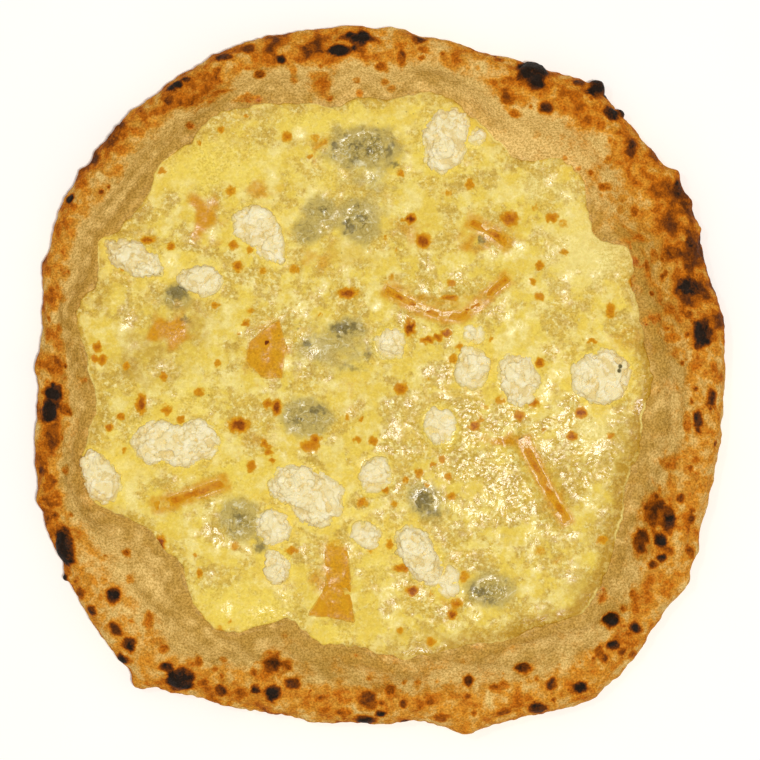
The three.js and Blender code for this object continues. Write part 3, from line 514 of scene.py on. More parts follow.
class Recipe:
    """A material and its nodes, which read the piece's own coordinates and stored numbers."""

    def __init__(self, name, **constants):
        self.material = bpy.data.materials.new(name)
        self.material.use_nodes = True
        self.tree = self.material.node_tree
        self.shader = self.tree.nodes["Principled BSDF"]
        for socket, value in constants.items():
            self.shader.inputs[socket.replace("_", " ")].default_value = value
        self.where = self.add("TexCoord").outputs["Object"]
        self.clouds = {}

    def add(self, kind, inputs=(), **settings):
        """A node with its settings, and its inputs set to numbers or linked to other nodes' outputs."""
        node = self.tree.nodes.new("ShaderNode" + kind)
        for key, value in settings.items():
            setattr(node, key, value)
        for key, value in dict(inputs).items():
            if isinstance(value, bpy.types.NodeSocket):
                self.tree.links.new(value, node.inputs[key])
            else:
                node.inputs[key].default_value = value
        return node

    def stored(self, name):
        return self.add("Attribute", attribute_name=name).outputs["Fac"]

    def noise(self, size, detail=2, roughness=0.5, distortion=0):
        """Cloudy noise whose clouds are about size millimetres across. The same noise is one node."""
        kind = (size, detail, roughness, distortion)
        if kind not in self.clouds:
            inputs = {"Detail": detail, "Roughness": roughness, "Distortion": distortion}
            inputs.update({"Vector": self.where, "Scale": 1 / (size * MM)})
            self.clouds[kind] = self.add("TexNoise", inputs).outputs["Fac"]
        return self.clouds[kind]

    def cells(self, size):
        """Distance to the middle of the nearest of many cells about size millimetres across."""
        return self.add("TexVoronoi", {"Vector": self.where, "Scale": 1 / (size * MM)}).outputs["Distance"]

    def sum(self, *values):
        """Adds numbers. A pair (value, factor) is multiplied first."""
        total = None
        for value in values:
            if isinstance(value, tuple):
                value = self.times(*value)
            total = value if total is None else self.math("ADD", total, value)
        return total

    def math(self, operation, a, b=0.0):
        return self.add("Math", {0: a, 1: b}, operation=operation).outputs[0]

    def times(self, a, b):
        return self.math("MULTIPLY", a, b)

    def between(self, value, low, high, start=0.0, end=1.0):
        """start where value is below low, end where it is above high, and smooth between."""
        inputs = {"Value": value, "From Min": low, "From Max": high, "To Min": start, "To Max": end}
        return self.add("MapRange", inputs, interpolation_type="SMOOTHSTEP").outputs["Result"]

    def mix(self, factor, a, b, blend_type="MIX"):
        sockets = {0: factor, 6: self.solid(a), 7: self.solid(b)}
        return self.add("Mix", sockets, data_type="RGBA", blend_type=blend_type).outputs[2]

    def ramp(self, value, stops):
        node = self.add("ValToRGB", {"Fac": value})
        elements = node.color_ramp.elements
        while len(elements) < len(stops):
            elements.new(1)
        for element, (at, colour) in zip(elements, stops):
            element.position = at
            element.color = self.solid(colour)
        return node.outputs["Color"]

    def flecked(self, colour, size, weight, tone, low=0.5, high=0.64):
        """A colour with flecks of another tone, about size millimetres across."""
        return self.mix(self.between(self.noise(size, 3, 0.6), low, high, 0.0, weight), colour, tone)

    def grained(self, colour, size, dark, light, weight=1.0):
        """A colour times fine speckles, from the dark factors of red, green and blue to the light ones."""
        speckles = self.noise(size, 3, 0.65)
        factors = {k: self.between(speckles, 0.3, 0.7, dark[k], light[k]) for k in range(3)}
        return self.mix(weight, colour, self.add("CombineColor", factors).outputs[0], "MULTIPLY")

    def bump(self, height, depth, strength=1.0, under=None):
        """Small relief of a height from 0 to 1, depth millimetres deep, on top of another one."""
        inputs = {"Height": height, "Distance": depth * MM, "Strength": strength}
        if under:
            inputs["Normal"] = under
        return self.add("Bump", inputs).outputs["Normal"]

    def finish(self, colour, roughness, normal):
        """The material, once its colour, roughness and relief are given to the shader."""
        for socket, value in (("Base Color", colour), ("Roughness", roughness), ("Normal", normal)):
            if isinstance(value, bpy.types.NodeSocket):
                self.tree.links.new(value, self.shader.inputs[socket])
            else:
                self.shader.inputs[socket].default_value = value
        return self.material

    @staticmethod
    def solid(colour):
        """A colour with full opacity, or a socket as it is."""
        return colour if isinstance(colour, bpy.types.NodeSocket) else (*colour, 1.0)


# ---------- sizes and colours that a user would change ----------


def colour_setting(name, description, code):
    return bpy.props.FloatVectorProperty(
        name=name, description=description, default=shade(code), subtype="COLOR", size=3, min=0, max=1
    )


class CrustSettings(bpy.types.PropertyGroup):
    """Colours and relief of the dough."""

    pale: colour_setting("Pale dough", "Dough on the inside of the rim", "#e4c074")
    golden: colour_setting("Golden", "Lightly baked dough", "#d69028")
    toasted: colour_setting("Toasted", "Orange brown patches", "#bc6606")
    brown: colour_setting("Brown", "Dark brown patches", "#743a04")
    char: colour_setting("Char", "Burnt blisters", "#22170e")
    oil: colour_setting("Oiled dough", "Dough that soaked up oil", "#b68e3c")
    relief: bpy.props.FloatProperty(
        name="Relief", description="Share of the dough's lumps", default=1, min=0, max=2, subtype="FACTOR"
    )


class MeltSettings(bpy.types.PropertyGroup):
    """Colours and relief of the melted cheese."""

    yellow: colour_setting("Yellow", "Most of the melt", "#e8ca4e")
    pale: colour_setting("Pale", "Creamy areas", "#f3e086")
    bright: colour_setting("Bright", "Bright yellow areas", "#f0d658")
    tan: colour_setting("Tan", "Dull areas", "#debc4a")
    olive: colour_setting("Olive", "Thin oily areas", "#ccaa44")
    amber: colour_setting("Amber", "Where smoked cheese melted in", "#d39402")
    grey: colour_setting("Grey", "Where blue cheese melted in", "#bea85a")
    vein: colour_setting("Vein", "Veins of the blue cheese", "#6c5f36")
    strand: colour_setting("Strand", "Light strands of the blue cheese", "#e8dfb0")
    cream: colour_setting("Cream", "Small light flecks", "#f7ea9c")
    shadow: colour_setting("Shadow", "Dull areas and small dark flecks", "#bc922a")
    speck: colour_setting("Speck", "Scattered specks", "#8f7a2c")
    pebble: bpy.props.FloatProperty(
        name="Pebbles", description="Height of small lumps", default=0.00016, min=0, max=0.002, unit="LENGTH"
    )


class ToppingSettings(bpy.types.PropertyGroup):
    """Colours and relief of the cheeses on top."""

    ricotta: colour_setting("Ricotta", "Ricotta's curds", "#f4e6b4")
    # Painted shade, laid between the curds and in the ricotta's low places.
    crevice: colour_setting("Crevice", "Between the curds", "#dcc27a")
    dull: colour_setting("Dull curds", "Ricotta that dried a little", "#eed792")
    light: colour_setting("Light curds", "Flecks of white", "#fdf4d2")
    # The melt's yellow where ricotta runs into it, made light enough to also act as painted light over the
    # shade on the lumps' upright sides.
    foot: colour_setting("Foot", "Where ricotta melts into the cheese", "#f2dc84")
    pepper: colour_setting("Specks", "Dark specks on the ricotta", "#6f6438")
    curd: bpy.props.FloatProperty(
        name="Curd size", description="Width of a curd", default=0.006, min=0.001, max=0.01, unit="LENGTH"
    )


class StageSettings(bpy.types.PropertyGroup):
    """Floor, lights and camera."""

    floor: colour_setting("Floor", "Colour of the floor", "#fbfaf7")
    cloud: colour_setting("Floor clouds", "Slight unevenness of the floor", "#f6f5f1")
    key: bpy.props.FloatProperty(
        name="Key light", description="Power of the overhead light", default=24.5, min=0, unit="POWER"
    )
    side: bpy.props.FloatProperty(
        name="Side light", description="Power of the light from the left", default=2.5, min=0, unit="POWER"
    )
    sky: bpy.props.FloatProperty(
        name="Surroundings", description="Brightness of the light from all round", default=0.35, min=0
    )
    height: bpy.props.FloatProperty(
        name="Camera height", description="From the floor to the lens", default=1.5, min=0.5, unit="LENGTH"
    )


# ---------- crust ----------

# Rings of the crust: -2 is the middle of the base, -1 where it leaves the table, 0 the widest line, 1 the
# crest, 2 the edge of the cheese, 3 the foot of the well and 4 its middle.
CRUST_RINGS = np.concatenate([
    np.linspace(-2, -1, 4)[:-1], np.linspace(-1, 0, 14)[:-1], np.linspace(0, 1, 24)[:-1],
    np.linspace(1, 2, 41)[:-1], np.linspace(2, 3, 4)[:-1], np.linspace(3, 4, 4),
])
CRUST_STEPS, CRUST_CUTS = 95, 11  # the rings are spun in steps, and each step is cut again
BUBBLES, BUBBLE_SIZES, BUBBLE_RISES = 520, (1, 2.8), (0.15, 0.5)
FRECKLES, FRECKLE_SIZES, FRECKLE_SHADES = 620, (0.4, 1.4), (30, 72)
SPOT_RISE = 0.2  # how high a charred spot stands, as a share of its smaller half width
OIL_REACH = 22


def rim_section(bearing, ring):
    """Distance from the centre and height of points of the crust before it is lumpy."""
    inner = closed_curve(CHEESE_EDGE, bearing)
    edge = closed_curve(OUTER_EDGE, bearing)
    width = edge - inner
    crest = NARROW_CREST + CREST_RISE * (width - NARROW_RIM) + ring_waves(CREST_WAVES, bearing)
    inset = np.clip(CREST_SHARE * width, CREST_LEAST, CREST_MOST)
    nub = sum(rise * hump((bearing - at) / half) for at, rise, half in EDGE_NUBS) * hump(ring)

    angle = np.clip(ring, -1, 1) * np.pi / 2
    below = ring < 0
    reach = np.where(below, REST_INSET, inset)
    height = np.where(below, WIDEST_HEIGHT, crest - WIDEST_HEIGHT)
    puff = ring_waves(PUFF_WAVES, bearing, ring) * np.cos(angle)
    outside = (edge + nub + puff - reach * (1 - np.cos(angle)), WIDEST_HEIGHT + height * np.sin(angle))

    t = np.clip(ring - 1, 0, 1)
    puff = ring_waves(PUFF_WAVES, bearing, 2 * t) * np.sin(np.pi * t)
    inside = (edge - inset - (width - inset) * t, WELL_EDGE + (crest - WELL_EDGE) * hump(t) + puff)

    t = np.clip(ring - 2, 0, 1)
    well = (inner - FOOT * t, WELL_EDGE + (WELL_FLOOR - WELL_EDGE) * t)

    base = (ring + 2) * (edge - REST_INSET), np.zeros_like(ring)
    floor = (4 - ring) * (inner - FOOT), np.full_like(ring, WELL_FLOOR)
    parts = [base, outside, inside, well, floor]
    choice = [ring < -1, ring <= 1, ring <= 2, ring <= 3, ring > 3]
    return [np.select(choice, [part[axis] for part in parts]) for axis in (0, 1)]


def spun_crust():
    """The crust before its points are placed: each lies at its bearing, and its height is its ring."""
    bm = bmesh.new()
    last = len(CRUST_RINGS) - 1
    chain = [bm.verts.new((0 if i in (0, last) else 1, 0, ring)) for i, ring in enumerate(CRUST_RINGS)]
    edges = [bm.edges.new(pair) for pair in zip(chain, chain[1:])]
    bmesh.ops.spin(
        bm, geom=chain + edges, cent=(0, 0, 0), axis=(0, 0, 1), dvec=(0, 0, 0), angle=2 * np.pi,
        steps=CRUST_STEPS, use_merge=True,
    )
    bmesh.ops.remove_doubles(bm, verts=bm.verts, dist=0.0001)
    around = [edge for edge in bm.edges if abs(edge.verts[0].co.z - edge.verts[1].co.z) < 0.0001]
    bmesh.ops.subdivide_edges(bm, edges=around, cuts=CRUST_CUTS, use_grid_fill=True)
    return finished(bm, bpy.data.meshes.new("crust"))


class Rim:
    """The rim's upper side, with a fast way to find what shows at a place seen from above."""

    def __init__(self, points, ring, bearing):
        # Blender numbers the points in another order each run, so they are sorted before any are drawn.
        order = np.lexsort((np.round(bearing, 3) % 360, np.round(ring, 3)))
        self.points = points
        self.upper = order[(ring[order] > 0.05) & (ring[order] < 1.95)]
        self.tree = flat_tree(points, self.upper)

    def around(self, spot, reach):
        """The points within reach of a spot (x, y, half width, half length), and their distances in it."""
        x, y, half_x, half_y = spot[:4]
        top = self.points[self.tree.find((x, y, 0))[1]]
        halves = np.array((half_x, half_y, 1.4 * max(half_x, half_y)))
        near = np.flatnonzero(np.abs(self.points[:, 0] - top[0]) < reach * half_x)
        near = near[(np.abs(self.points[near] - top) < reach * halves).all(axis=1)]
        return near, np.linalg.norm((self.points[near] - top) / halves, axis=1)

    def swell(self, spots, bend=1.0):
        """How far bubbles (x, y, half width, half length, rise) lift the dough."""
        total = np.zeros(len(self.points))
        for spot in spots:
            near, share = self.around(spot, 1)
            lift = spot[4] * np.clip(1 - share**2, 0, 1) ** bend
            total[near] = np.maximum(total[near], lift)
        return total

    def baked(self, spots, wobble):
        """How brown spots (x, y, half width, half length, darkness) make the dough, from 0 to 1."""
        total = np.zeros(len(self.points))
        for spot in spots:
            near, share = self.around(spot, 1.3 * SPOT_FADE[0][-1])
            brown = spot[4] / 100 * np.interp(share * wobble[near], *SPOT_FADE)
            total[near] = np.maximum(total[near], brown)
        return total

    def random_spots(self, count, seed, sizes, strengths):
        """Small spots at random places."""
        rng = np.random.default_rng(seed)
        places = self.points[rng.choice(self.upper, count), :2]
        half = rng.uniform(*sizes, count)
        length = half * rng.uniform(0.8, 1.3, count)
        return np.column_stack((places, half, length, rng.uniform(*strengths, count)))


def wrinkles_of(points, ring, r):
    """Wrinkles that run round the inside of the rim."""
    share = ease(ring, 1.15, 1.5) * (1 - ease(ring, 1.9, 2.05))
    return share * ripple(np.column_stack((r, 0.22 * points[:, :2])), 5.5, 19)


def lumps_of(points, ring, bearing):
    """How far lumps and creases lift the dough."""
    lumps = 0.4 * ripple(points, 24, 1) - 0.3 + 0.06 * ripple(points, 2.2, 4)
    smaller = 0.26 * ripple(points, 10, 2) + 0.12 * ripple(points, 4.5, 3)
    lumps += smaller * (1 - 0.6 * ease(ring, 1.05, 1.45))
    for start, end, at, deep in CREASES:
        along = ease(bearing, start, start + 4) * (1 - ease(bearing, end - 4, end))
        lumps -= deep * along * fade(ring - at - 0.05 * ripple(points, 25, 6), 0.045)
    return lumps


def toast_of(points, ring, bearing):
    """How brown the dough is between the spots."""
    toast = np.array(TOAST)
    outside, crest, inside = (closed_curve(toast[:, [0, i]], bearing) for i in (1, 2, 3))
    brown = outside + (crest - outside) * ease(ring, 0.3, 1.0) + (inside - crest) * ease(ring, 1.0, 1.4)
    brown *= 0.98 + 0.2 * ripple(points, 14, 11) + 0.1 * ripple(points, 6, 12)
    under = 0.3 + 0.16 * ripple(points, 16, 13) + 0.12 * ripple(points, 6, 14)
    return np.where(ring < -0.5, under, brown)


def crust_mesh(settings):
    mesh = spun_crust()
    x, y, ring = vectors(mesh.vertices, "co").T
    bearing = np.mod(np.degrees(np.arctan2(y, x)), 360)
    r, z = rim_section(bearing, ring)
    turn = np.radians(bearing)
    points = np.column_stack((CENTRE[0] + r * np.cos(turn), CENTRE[1] + r * np.sin(turn), z))
    move_points(mesh, points)
    face_outwards(mesh)

    rim = Rim(points, ring, bearing)
    small = rim.random_spots(BUBBLES, 5, BUBBLE_SIZES, BUBBLE_RISES)
    spots = [(x, y, a, b, SPOT_RISE * min(a, b) * dark / 100) for x, y, a, b, dark in CHAR_SPOTS]
    lift = rim.swell(small) + rim.swell(spots) + rim.swell(BLACK_BUBBLES, 0.7)
    wrinkles = wrinkles_of(points, ring, r)
    lift += lumps_of(points, ring, bearing) + 0.2 * wrinkles
    loose = ease(ring, -0.95, -0.4) * (1 - ease(ring, 1.85, 2.05))
    moved = points + facing(mesh) * (settings.relief * loose * lift)[:, None]
    low, high = (np.array(corner) / MM for corner in CAD_BOX)
    move_points(mesh, np.clip(moved, low, high))

    brown = toast_of(points, ring, bearing)
    wobble = 1 + 0.1 * ripple(points, 6, 21) + 0.06 * ripple(points, 3, 22)
    black = [(x, y, a, b, 100) for x, y, a, b, _ in BLACK_BUBBLES]
    patches = rim.baked(CHAR_SPOTS + black, wobble)
    freckles = rim.baked(rim.random_spots(FRECKLES, 15, FRECKLE_SIZES, FRECKLE_SHADES), wobble)
    freckles *= ease(brown, 0.08, 0.3)
    store(mesh, "bake", np.maximum.reduce((patches, freckles, np.clip(brown, 0, 0.72))))

    inner = closed_curve(CHEESE_EDGE, bearing)
    to_cheese = np.maximum(inner, r) - inner
    oil = closed_curve(OILY_RIM, bearing) * np.exp(-to_cheese / OIL_REACH)
    oil *= (1 + 0.3 * ripple(points, 7, 17)) * (1 + 0.8 * fade(to_cheese - 2, 3))
    oil -= 0.12 * wrinkles
    store(mesh, "oil", np.clip(oil * (ring > 0), 0, 1))
    wet = fade(to_cheese, 3.5) * np.clip(0.6 + 0.6 * ripple(points, 9, 18), 0, 1)
    store(mesh, "wet", wet * (ring > 1))
    return mesh


def dough(settings):
    recipe = Recipe("baked dough", Specular_IOR_Level=0.1)
    fine, middle, wide = recipe.noise(1.1, 4, 0.65), recipe.noise(3.2, 3), recipe.noise(16, 2)
    bake = recipe.stored("bake")
    blotch = recipe.between(recipe.noise(5, 3, 0.55, 0.3), 0.38, 0.64, -0.08, 0.09)
    blotch = recipe.times(blotch, recipe.between(bake, 0.08, 0.35, 0.4, 1.0))
    uneven = recipe.sum((fine, 0.28), (middle, 0.14), (wide, 0.08), blotch, -0.26)
    level = recipe.sum(bake, uneven)
    stops = [
        (0, settings.pale), (0.12, settings.pale), (0.32, settings.golden), (0.5, settings.toasted),
        (0.7, settings.brown), (0.9, settings.char),
    ]
    colour = recipe.ramp(level, stops)
    oil = recipe.between(recipe.sum(recipe.stored("oil"), (middle, 0.6), (fine, 0.4), -0.5), -0.1, 1.1)
    oiled = recipe.mix(recipe.times(oil, 0.9), colour, settings.oil)
    colour = recipe.mix(recipe.between(level, 0.35, 0.6), oiled, colour)
    colour = recipe.grained(colour, 0.9, (0.68, 0.62, 0.42), (1.34, 1.34, 1.44))
    charred = recipe.between(level, 0.6, 0.9)
    rough = recipe.sum((fine, 0.2), (charred, -0.18), (recipe.stored("wet"), -0.55), 0.7)
    skin = recipe.bump(recipe.noise(2.6, 3, 0.6), 0.6, 0.7)
    normal = recipe.bump(recipe.noise(0.9, 3, 0.6), 0.26, 0.8, skin)
    return recipe.finish(colour, rough, normal)


class PIZZA_OT_crust(bpy.types.Operator):
    """Model the dough with its puffed, charred rim"""

    bl_idname = "pizza.crust"
    bl_label = "Crust"

    def execute(self, context):
        settings = context.scene.pizza_crust
        add_piece("baked_crust", crust_mesh(settings), dough(settings), "crust", "crust")
        return {"FINISHED"}


# ---------- melted cheese ----------

MELT_CELLS = 304
MELT_UNDERSIDE = 3.35
EDGE_LEVEL = WELL_EDGE - 0.15
EDGE_TUCK, EDGE_DROP = 0.3, 0.8  # how far in from its edge and below the well's the melt folds under
# The strength of areas, of blisters and of the blisters' relief, in shares of their half width.
SOFT_FADE = ([0, 0.3, 0.7, 1, 1.5], [1, 0.92, 0.6, 0.3, 0])
BLISTER_FADE = ([0, 0.5, 0.8, 1, 1.3, 1.8], [1, 0.95, 0.75, 0.5, 0.25, 0])
BLISTER_RELIEF = ([0, 0.7, 1.2], [1, 0.6, 0])
# A blister's colours, from its golden halo to its dark middle.
BLISTER_SHADES = [
    (0.0, "#deb030"), (0.35, "#d69a18"), (0.66, "#c87c08"), (0.86, "#a05204"), (1.0, "#6e3403"),
]


def melt_sheet():
    """The melt before its points are placed: a round sheet of even faces that reaches a radius of 1.

    Height 0 is its top. Its edge folds under at -1, reaches the foot at -2 and closes in the middle at -3.
    """
    bm = bmesh.new()
    bmesh.ops.create_grid(bm, x_segments=MELT_CELLS, y_segments=MELT_CELLS, size=1)
    for level in (-1, -2, -3):
        border = [edge for edge in bm.edges if edge.is_boundary]
        made = bmesh.ops.extrude_edge_only(bm, edges=border)["geom"]
        for vert in made:
            if isinstance(vert, bmesh.types.BMVert):
                vert.co.z = level
    for vert in bm.verts:
        square_to_circle(vert.co)
        if vert.co.z == -3:
            vert.co.xy = (0, 0)
    bmesh.ops.remove_doubles(bm, verts=bm.verts, dist=0.00001)
    return finished(bm, bpy.data.meshes.new("melt"))


def square_to_circle(place):
    """Moves a point of a square to a circle, so that equal areas stay equal."""
    x, y = place.x, place.y
    if x == 0 and y == 0:
        return
    if abs(x) > abs(y):
        r, turn = x, np.pi / 4 * y / x
    else:
        r, turn = y, np.pi / 2 - np.pi / 4 * x / y
    place.x, place.y = r * np.cos(turn), r * np.sin(turn)


def beside(names, places, width):
    """1 at the nearest of some CAD solids, at the cheese's level, falling off over a width round it."""
    corners, faces = [], []
    for name in names:
        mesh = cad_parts[name].data
        start = len(corners)
        corners.extend(v.co / MM for v in mesh.vertices)
        faces.extend([start + i for i in p.vertices] for p in mesh.polygons)
    tree = BVHTree.FromPolygons(corners, faces)
    away = np.array([tree.find_nearest((x, y, CHEESE_LEVEL))[3] for x, y in places])
    return fade(away, width)


def paint(mesh, **more):
    """Stores at each point which areas of colour it lies in. more holds areas that the piece adds itself."""
    places = points_of(mesh)[:, :2]
    near = places + 1.6 * sway(places, 11, 61)
    areas = {name: painted(near, spots, SOFT_FADE) for name, spots in AREAS.items()}
    areas["wet"] = painted(near, PEBBLED, SOFT_FADE)
    wobble = sway(places, 3, 63)
    areas["brown"] = painted(places + 0.35 * wobble, CHEESE_SPOTS, BLISTER_FADE)
    areas["vein"] = painted(places + 0.7 * wobble, VEINS, BLISTER_FADE)
    for name, strength in more.items():
        areas[name] = np.maximum(areas[name], strength)
    for name, strength in areas.items():
        store(mesh, name, strength)


def melt_top(places, inset, settings):
    """Height of the melted cheese at places, which lie inset from its edge."""
    centred = places - CENTRE
    level = np.full(len(places), CHEESE_LEVEL)
    for size, length, bearing, phase in CHEESE_WAVES:
        way = (np.cos(np.radians(bearing)), np.sin(np.radians(bearing)))
        level += size * np.sin(2 * np.pi * (centred @ way) / length + phase)
    level += 0.14 * ripple(places, 15, 51) + 0.08 * ripple(places, 8, 52)
    pebbled = 0.05 + painted(places, PEBBLED, SOFT_FADE)
    nearest, _ = curds(places + 0.5 * sway(places, 6, 53), 3.4, 55)
    pebbles = (1 - nearest) * 1.6 + 0.5 * ripple(places, 2.4, 56)
    level += settings.pebble / MM * pebbled * pebbles
    level += 0.35 * painted(places, CHEESE_SPOTS, BLISTER_RELIEF)

    level += 0.6 * beside(RICOTTA, places, 2.6)
    for names, width, sunk in CLIMBS:
        for name in names:
            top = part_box(name)[1][2] / MM - sunk
            level += (top - level) * beside([name], places, width)
    share = np.clip(inset / LIP, 0, 1)
    height = LIP_SHARE * np.sqrt(1 - (1 - share) ** 2) + (1 - LIP_SHARE) * ease(inset, 0, LIP_SLOPE)
    return EDGE_LEVEL + (level - EDGE_LEVEL) * height


def melt_mesh(settings):
    mesh = melt_sheet()
    x, y, level = vectors(mesh.vertices, "co").T
    share = np.hypot(x, y)
    turn = np.arctan2(y, x)
    edge = closed_curve(CHEESE_EDGE, np.degrees(turn))
    ring = np.column_stack((edge * np.cos(turn), edge * np.sin(turn)))
    edge = edge + sum(size * ripple(ring, length, seed) for size, length, seed in EDGE_WIGGLES)
    top, *fold = (level == number for number in (0, -1, -2, -3))
    r = np.select(fold, [edge - EDGE_TUCK, edge - FOOT, np.zeros_like(edge)], share * edge)
    z = np.select(fold, [WELL_EDGE - EDGE_DROP, MELT_UNDERSIDE, MELT_UNDERSIDE], 0.0)
    places = CENTRE + np.column_stack((r * np.cos(turn), r * np.sin(turn)))
    inset = edge * (1 - share)
    z[top] = melt_top(places[top], inset[top], settings)
    move_points(mesh, np.column_stack((places, z)))
    face_outwards(mesh)
    paint(
        mesh,
        wet=np.where(top, 0.8 * fade(inset, 4), 1),
        # A pale band along the edge: the cheese's creamy rim, and painted light over the shade of its steep
        # lip.
        pale=fade(inset, 1.1) * np.clip(0.2 + 0.6 * ripple(places, 30, 57), 0, 1),
        shadow=closed_curve(OLIVE_EDGE, np.degrees(turn)) * fade(inset, 6),
        bright=0.5 * beside(RICOTTA, places, 3),
        amber=0.5 * beside(RINDS, places, 3),
        brown=0.12 * beside(RINDS, places, 2),
        grey=0.6 * beside(BLUE_CHEESE, places, 4),
    )
    return mesh


def melt_areas(recipe, settings, colour, *names):
    """Mixes in the colours of stored areas, whose borders are uneven."""
    uneven = recipe.sum((recipe.noise(3, 3, 0.6), 0.6), (recipe.noise(8, 3, 0.6), 0.6), -0.6)
    for name in names:
        share = recipe.between(recipe.sum((recipe.stored(name), 1.25), uneven), 0.12, 0.85)
        colour = recipe.mix(share, colour, getattr(settings, name))
    return colour


def thick_cheese(recipe, settings):
    """Smooth yellow cheese with creamy areas."""
    colour = recipe.flecked(settings.yellow, 9, 1.0, settings.pale, 0.42, 0.6)
    return recipe.flecked(colour, 7, 0.6, settings.bright, 0.5, 0.62)


def thin_cheese(recipe, settings):
    """Oily cheese that the dough shows through, with light and dark flecks."""
    colour = recipe.mix(recipe.between(recipe.noise(8, 3, 0.6), 0.4, 0.6), settings.tan, settings.olive)
    colour = recipe.flecked(colour, 2.4, 0.75, settings.cream)
    return recipe.flecked(colour, 2.2, 0.35, settings.shadow)


def marbled(recipe, settings, colour):
    """Adds the dark and light strands of melted blue cheese, and its dark crumbs."""
    fine, small, middle = (recipe.noise(size, 3, 0.6) for size in (1.1, 3, 8))
    marbling = recipe.between(recipe.sum(recipe.stored("grey"), (middle, 0.8), -0.4), 0.25, 0.7)
    for size, thin, weight, tone in ((6, 0.03, 0.7, settings.vein), (5, 0.05, 0.75, settings.strand)):
        line = recipe.math("ABSOLUTE", recipe.sum(recipe.noise(size, 1.5, 0.5, 0.6), -0.5))
        here = recipe.times(recipe.between(recipe.noise(0.9 * size, 2), 0.42, 0.6), marbling)
        strands = recipe.times(recipe.between(line, 0.0, thin, weight, 0.0), here)
        colour = recipe.mix(strands, colour, tone)
    dark = recipe.sum(recipe.stored("vein"), (fine, 0.5), (small, 0.9), (marbling, 0.12), -0.75)
    return recipe.mix(recipe.between(dark, 0.1, 0.85, 0.0, 0.75), colour, settings.vein)


def melted(name, settings):
    """The melt's finish, which the cheeses that melted into it share."""
    recipe = Recipe(
        name, Specular_IOR_Level=0.3, Subsurface_Weight=0.04, Subsurface_Radius=(1, 0.8, 0.4),
        Subsurface_Scale=0.0012,
    )
    fine, small, wide = (recipe.noise(size, 3, 0.6) for size in (1.1, 3, 24))
    pool = recipe.between(recipe.sum(recipe.noise(13, 4, 0.65), (recipe.stored("wet"), 0.09)), 0.47, 0.58)
    colour = recipe.mix(pool, thick_cheese(recipe, settings), thin_cheese(recipe, settings))
    colour = melt_areas(recipe, settings, colour, "olive", "shadow", "tan", "pale", "bright")
    colour = recipe.flecked(colour, 2.6, 0.35, settings.pale)
    colour = recipe.flecked(colour, 2, 0.25, settings.olive)
    colour = melt_areas(recipe, settings, colour, "grey", "amber")
    colour = marbled(recipe, settings, colour)

    brown = recipe.sum(recipe.stored("brown"), (fine, 0.35), (small, 0.2), -0.27)
    browned = recipe.ramp(brown, [(at, shade(code)) for at, code in BLISTER_SHADES])
    colour = recipe.mix(recipe.between(brown, 0.08, 0.38), colour, browned)
    specks = recipe.between(recipe.cells(6), 0.04, 0.09, 0.5, 0.0)
    specks = recipe.times(specks, recipe.between(wide, 0.4, 0.55))
    colour = recipe.mix(specks, colour, settings.speck)
    grain = recipe.between(pool, 0, 1, 0.5, 1.0)
    colour = recipe.grained(colour, 1.0, (0.78, 0.74, 0.55), (1.14, 1.17, 1.38), grain)

    clusters = recipe.sum((recipe.noise(9, 3, 0.6), 3.4), -1.75)
    wet = recipe.between(recipe.sum(recipe.stored("wet"), clusters, (pool, 0.2)), 0.15, 0.85)
    crisp = recipe.between(brown, 0.12, 0.4)
    rough = recipe.sum((wet, -0.5), (small, 0.12), (crisp, 0.4), (recipe.stored("amber"), 0.1), 0.64)
    pebbles = recipe.bump(recipe.noise(2.8, 2, 0.55), 0.3, recipe.between(wet, 0, 1, 0.3, 1.0))
    normal = recipe.bump(recipe.noise(1.0, 3, 0.55), 0.085, recipe.between(wet, 0, 1, 0.6, 1.0), pebbles)
    return recipe.finish(colour, rough, normal)


class PIZZA_OT_melt(bpy.types.Operator):
    """Model the melted cheese with its browned blisters"""

    bl_idname = "pizza.melt"
    bl_label = "Melted cheese"

    def execute(self, context):
        settings = context.scene.pizza_melt
        material = melted("melted mozzarella", settings)
        add_piece("melted_mozzarella", melt_mesh(settings), material, "mozzarella", "mozzarella")
        return {"FINISHED"}


# ---------- cheeses on top ----------

# The width of the even faces and the rounds of smoothing, for evened().
RICOTTA_FACES, CRUMBLE_FACES, SMOKED_FACES = (0.45, 3), (0.4, 8), (0.35, 8)
CURD_DEPTH, CURD_SWELL = 1.2, 0.6
CRUMB, CRUMB_DEPTH = 4.2, 0.7
FOOT_SPREAD = 0.5


def from_side(mesh):
    """How far each point of a lump lies in from its upright side, seen from above."""
    points = points_of(mesh)
    tree = flat_tree(points, np.flatnonzero(np.abs(facing(mesh)[:, 2]) < 0.35))
    return np.array([tree.find((x, y, 0))[2] for x, y, _ in points])


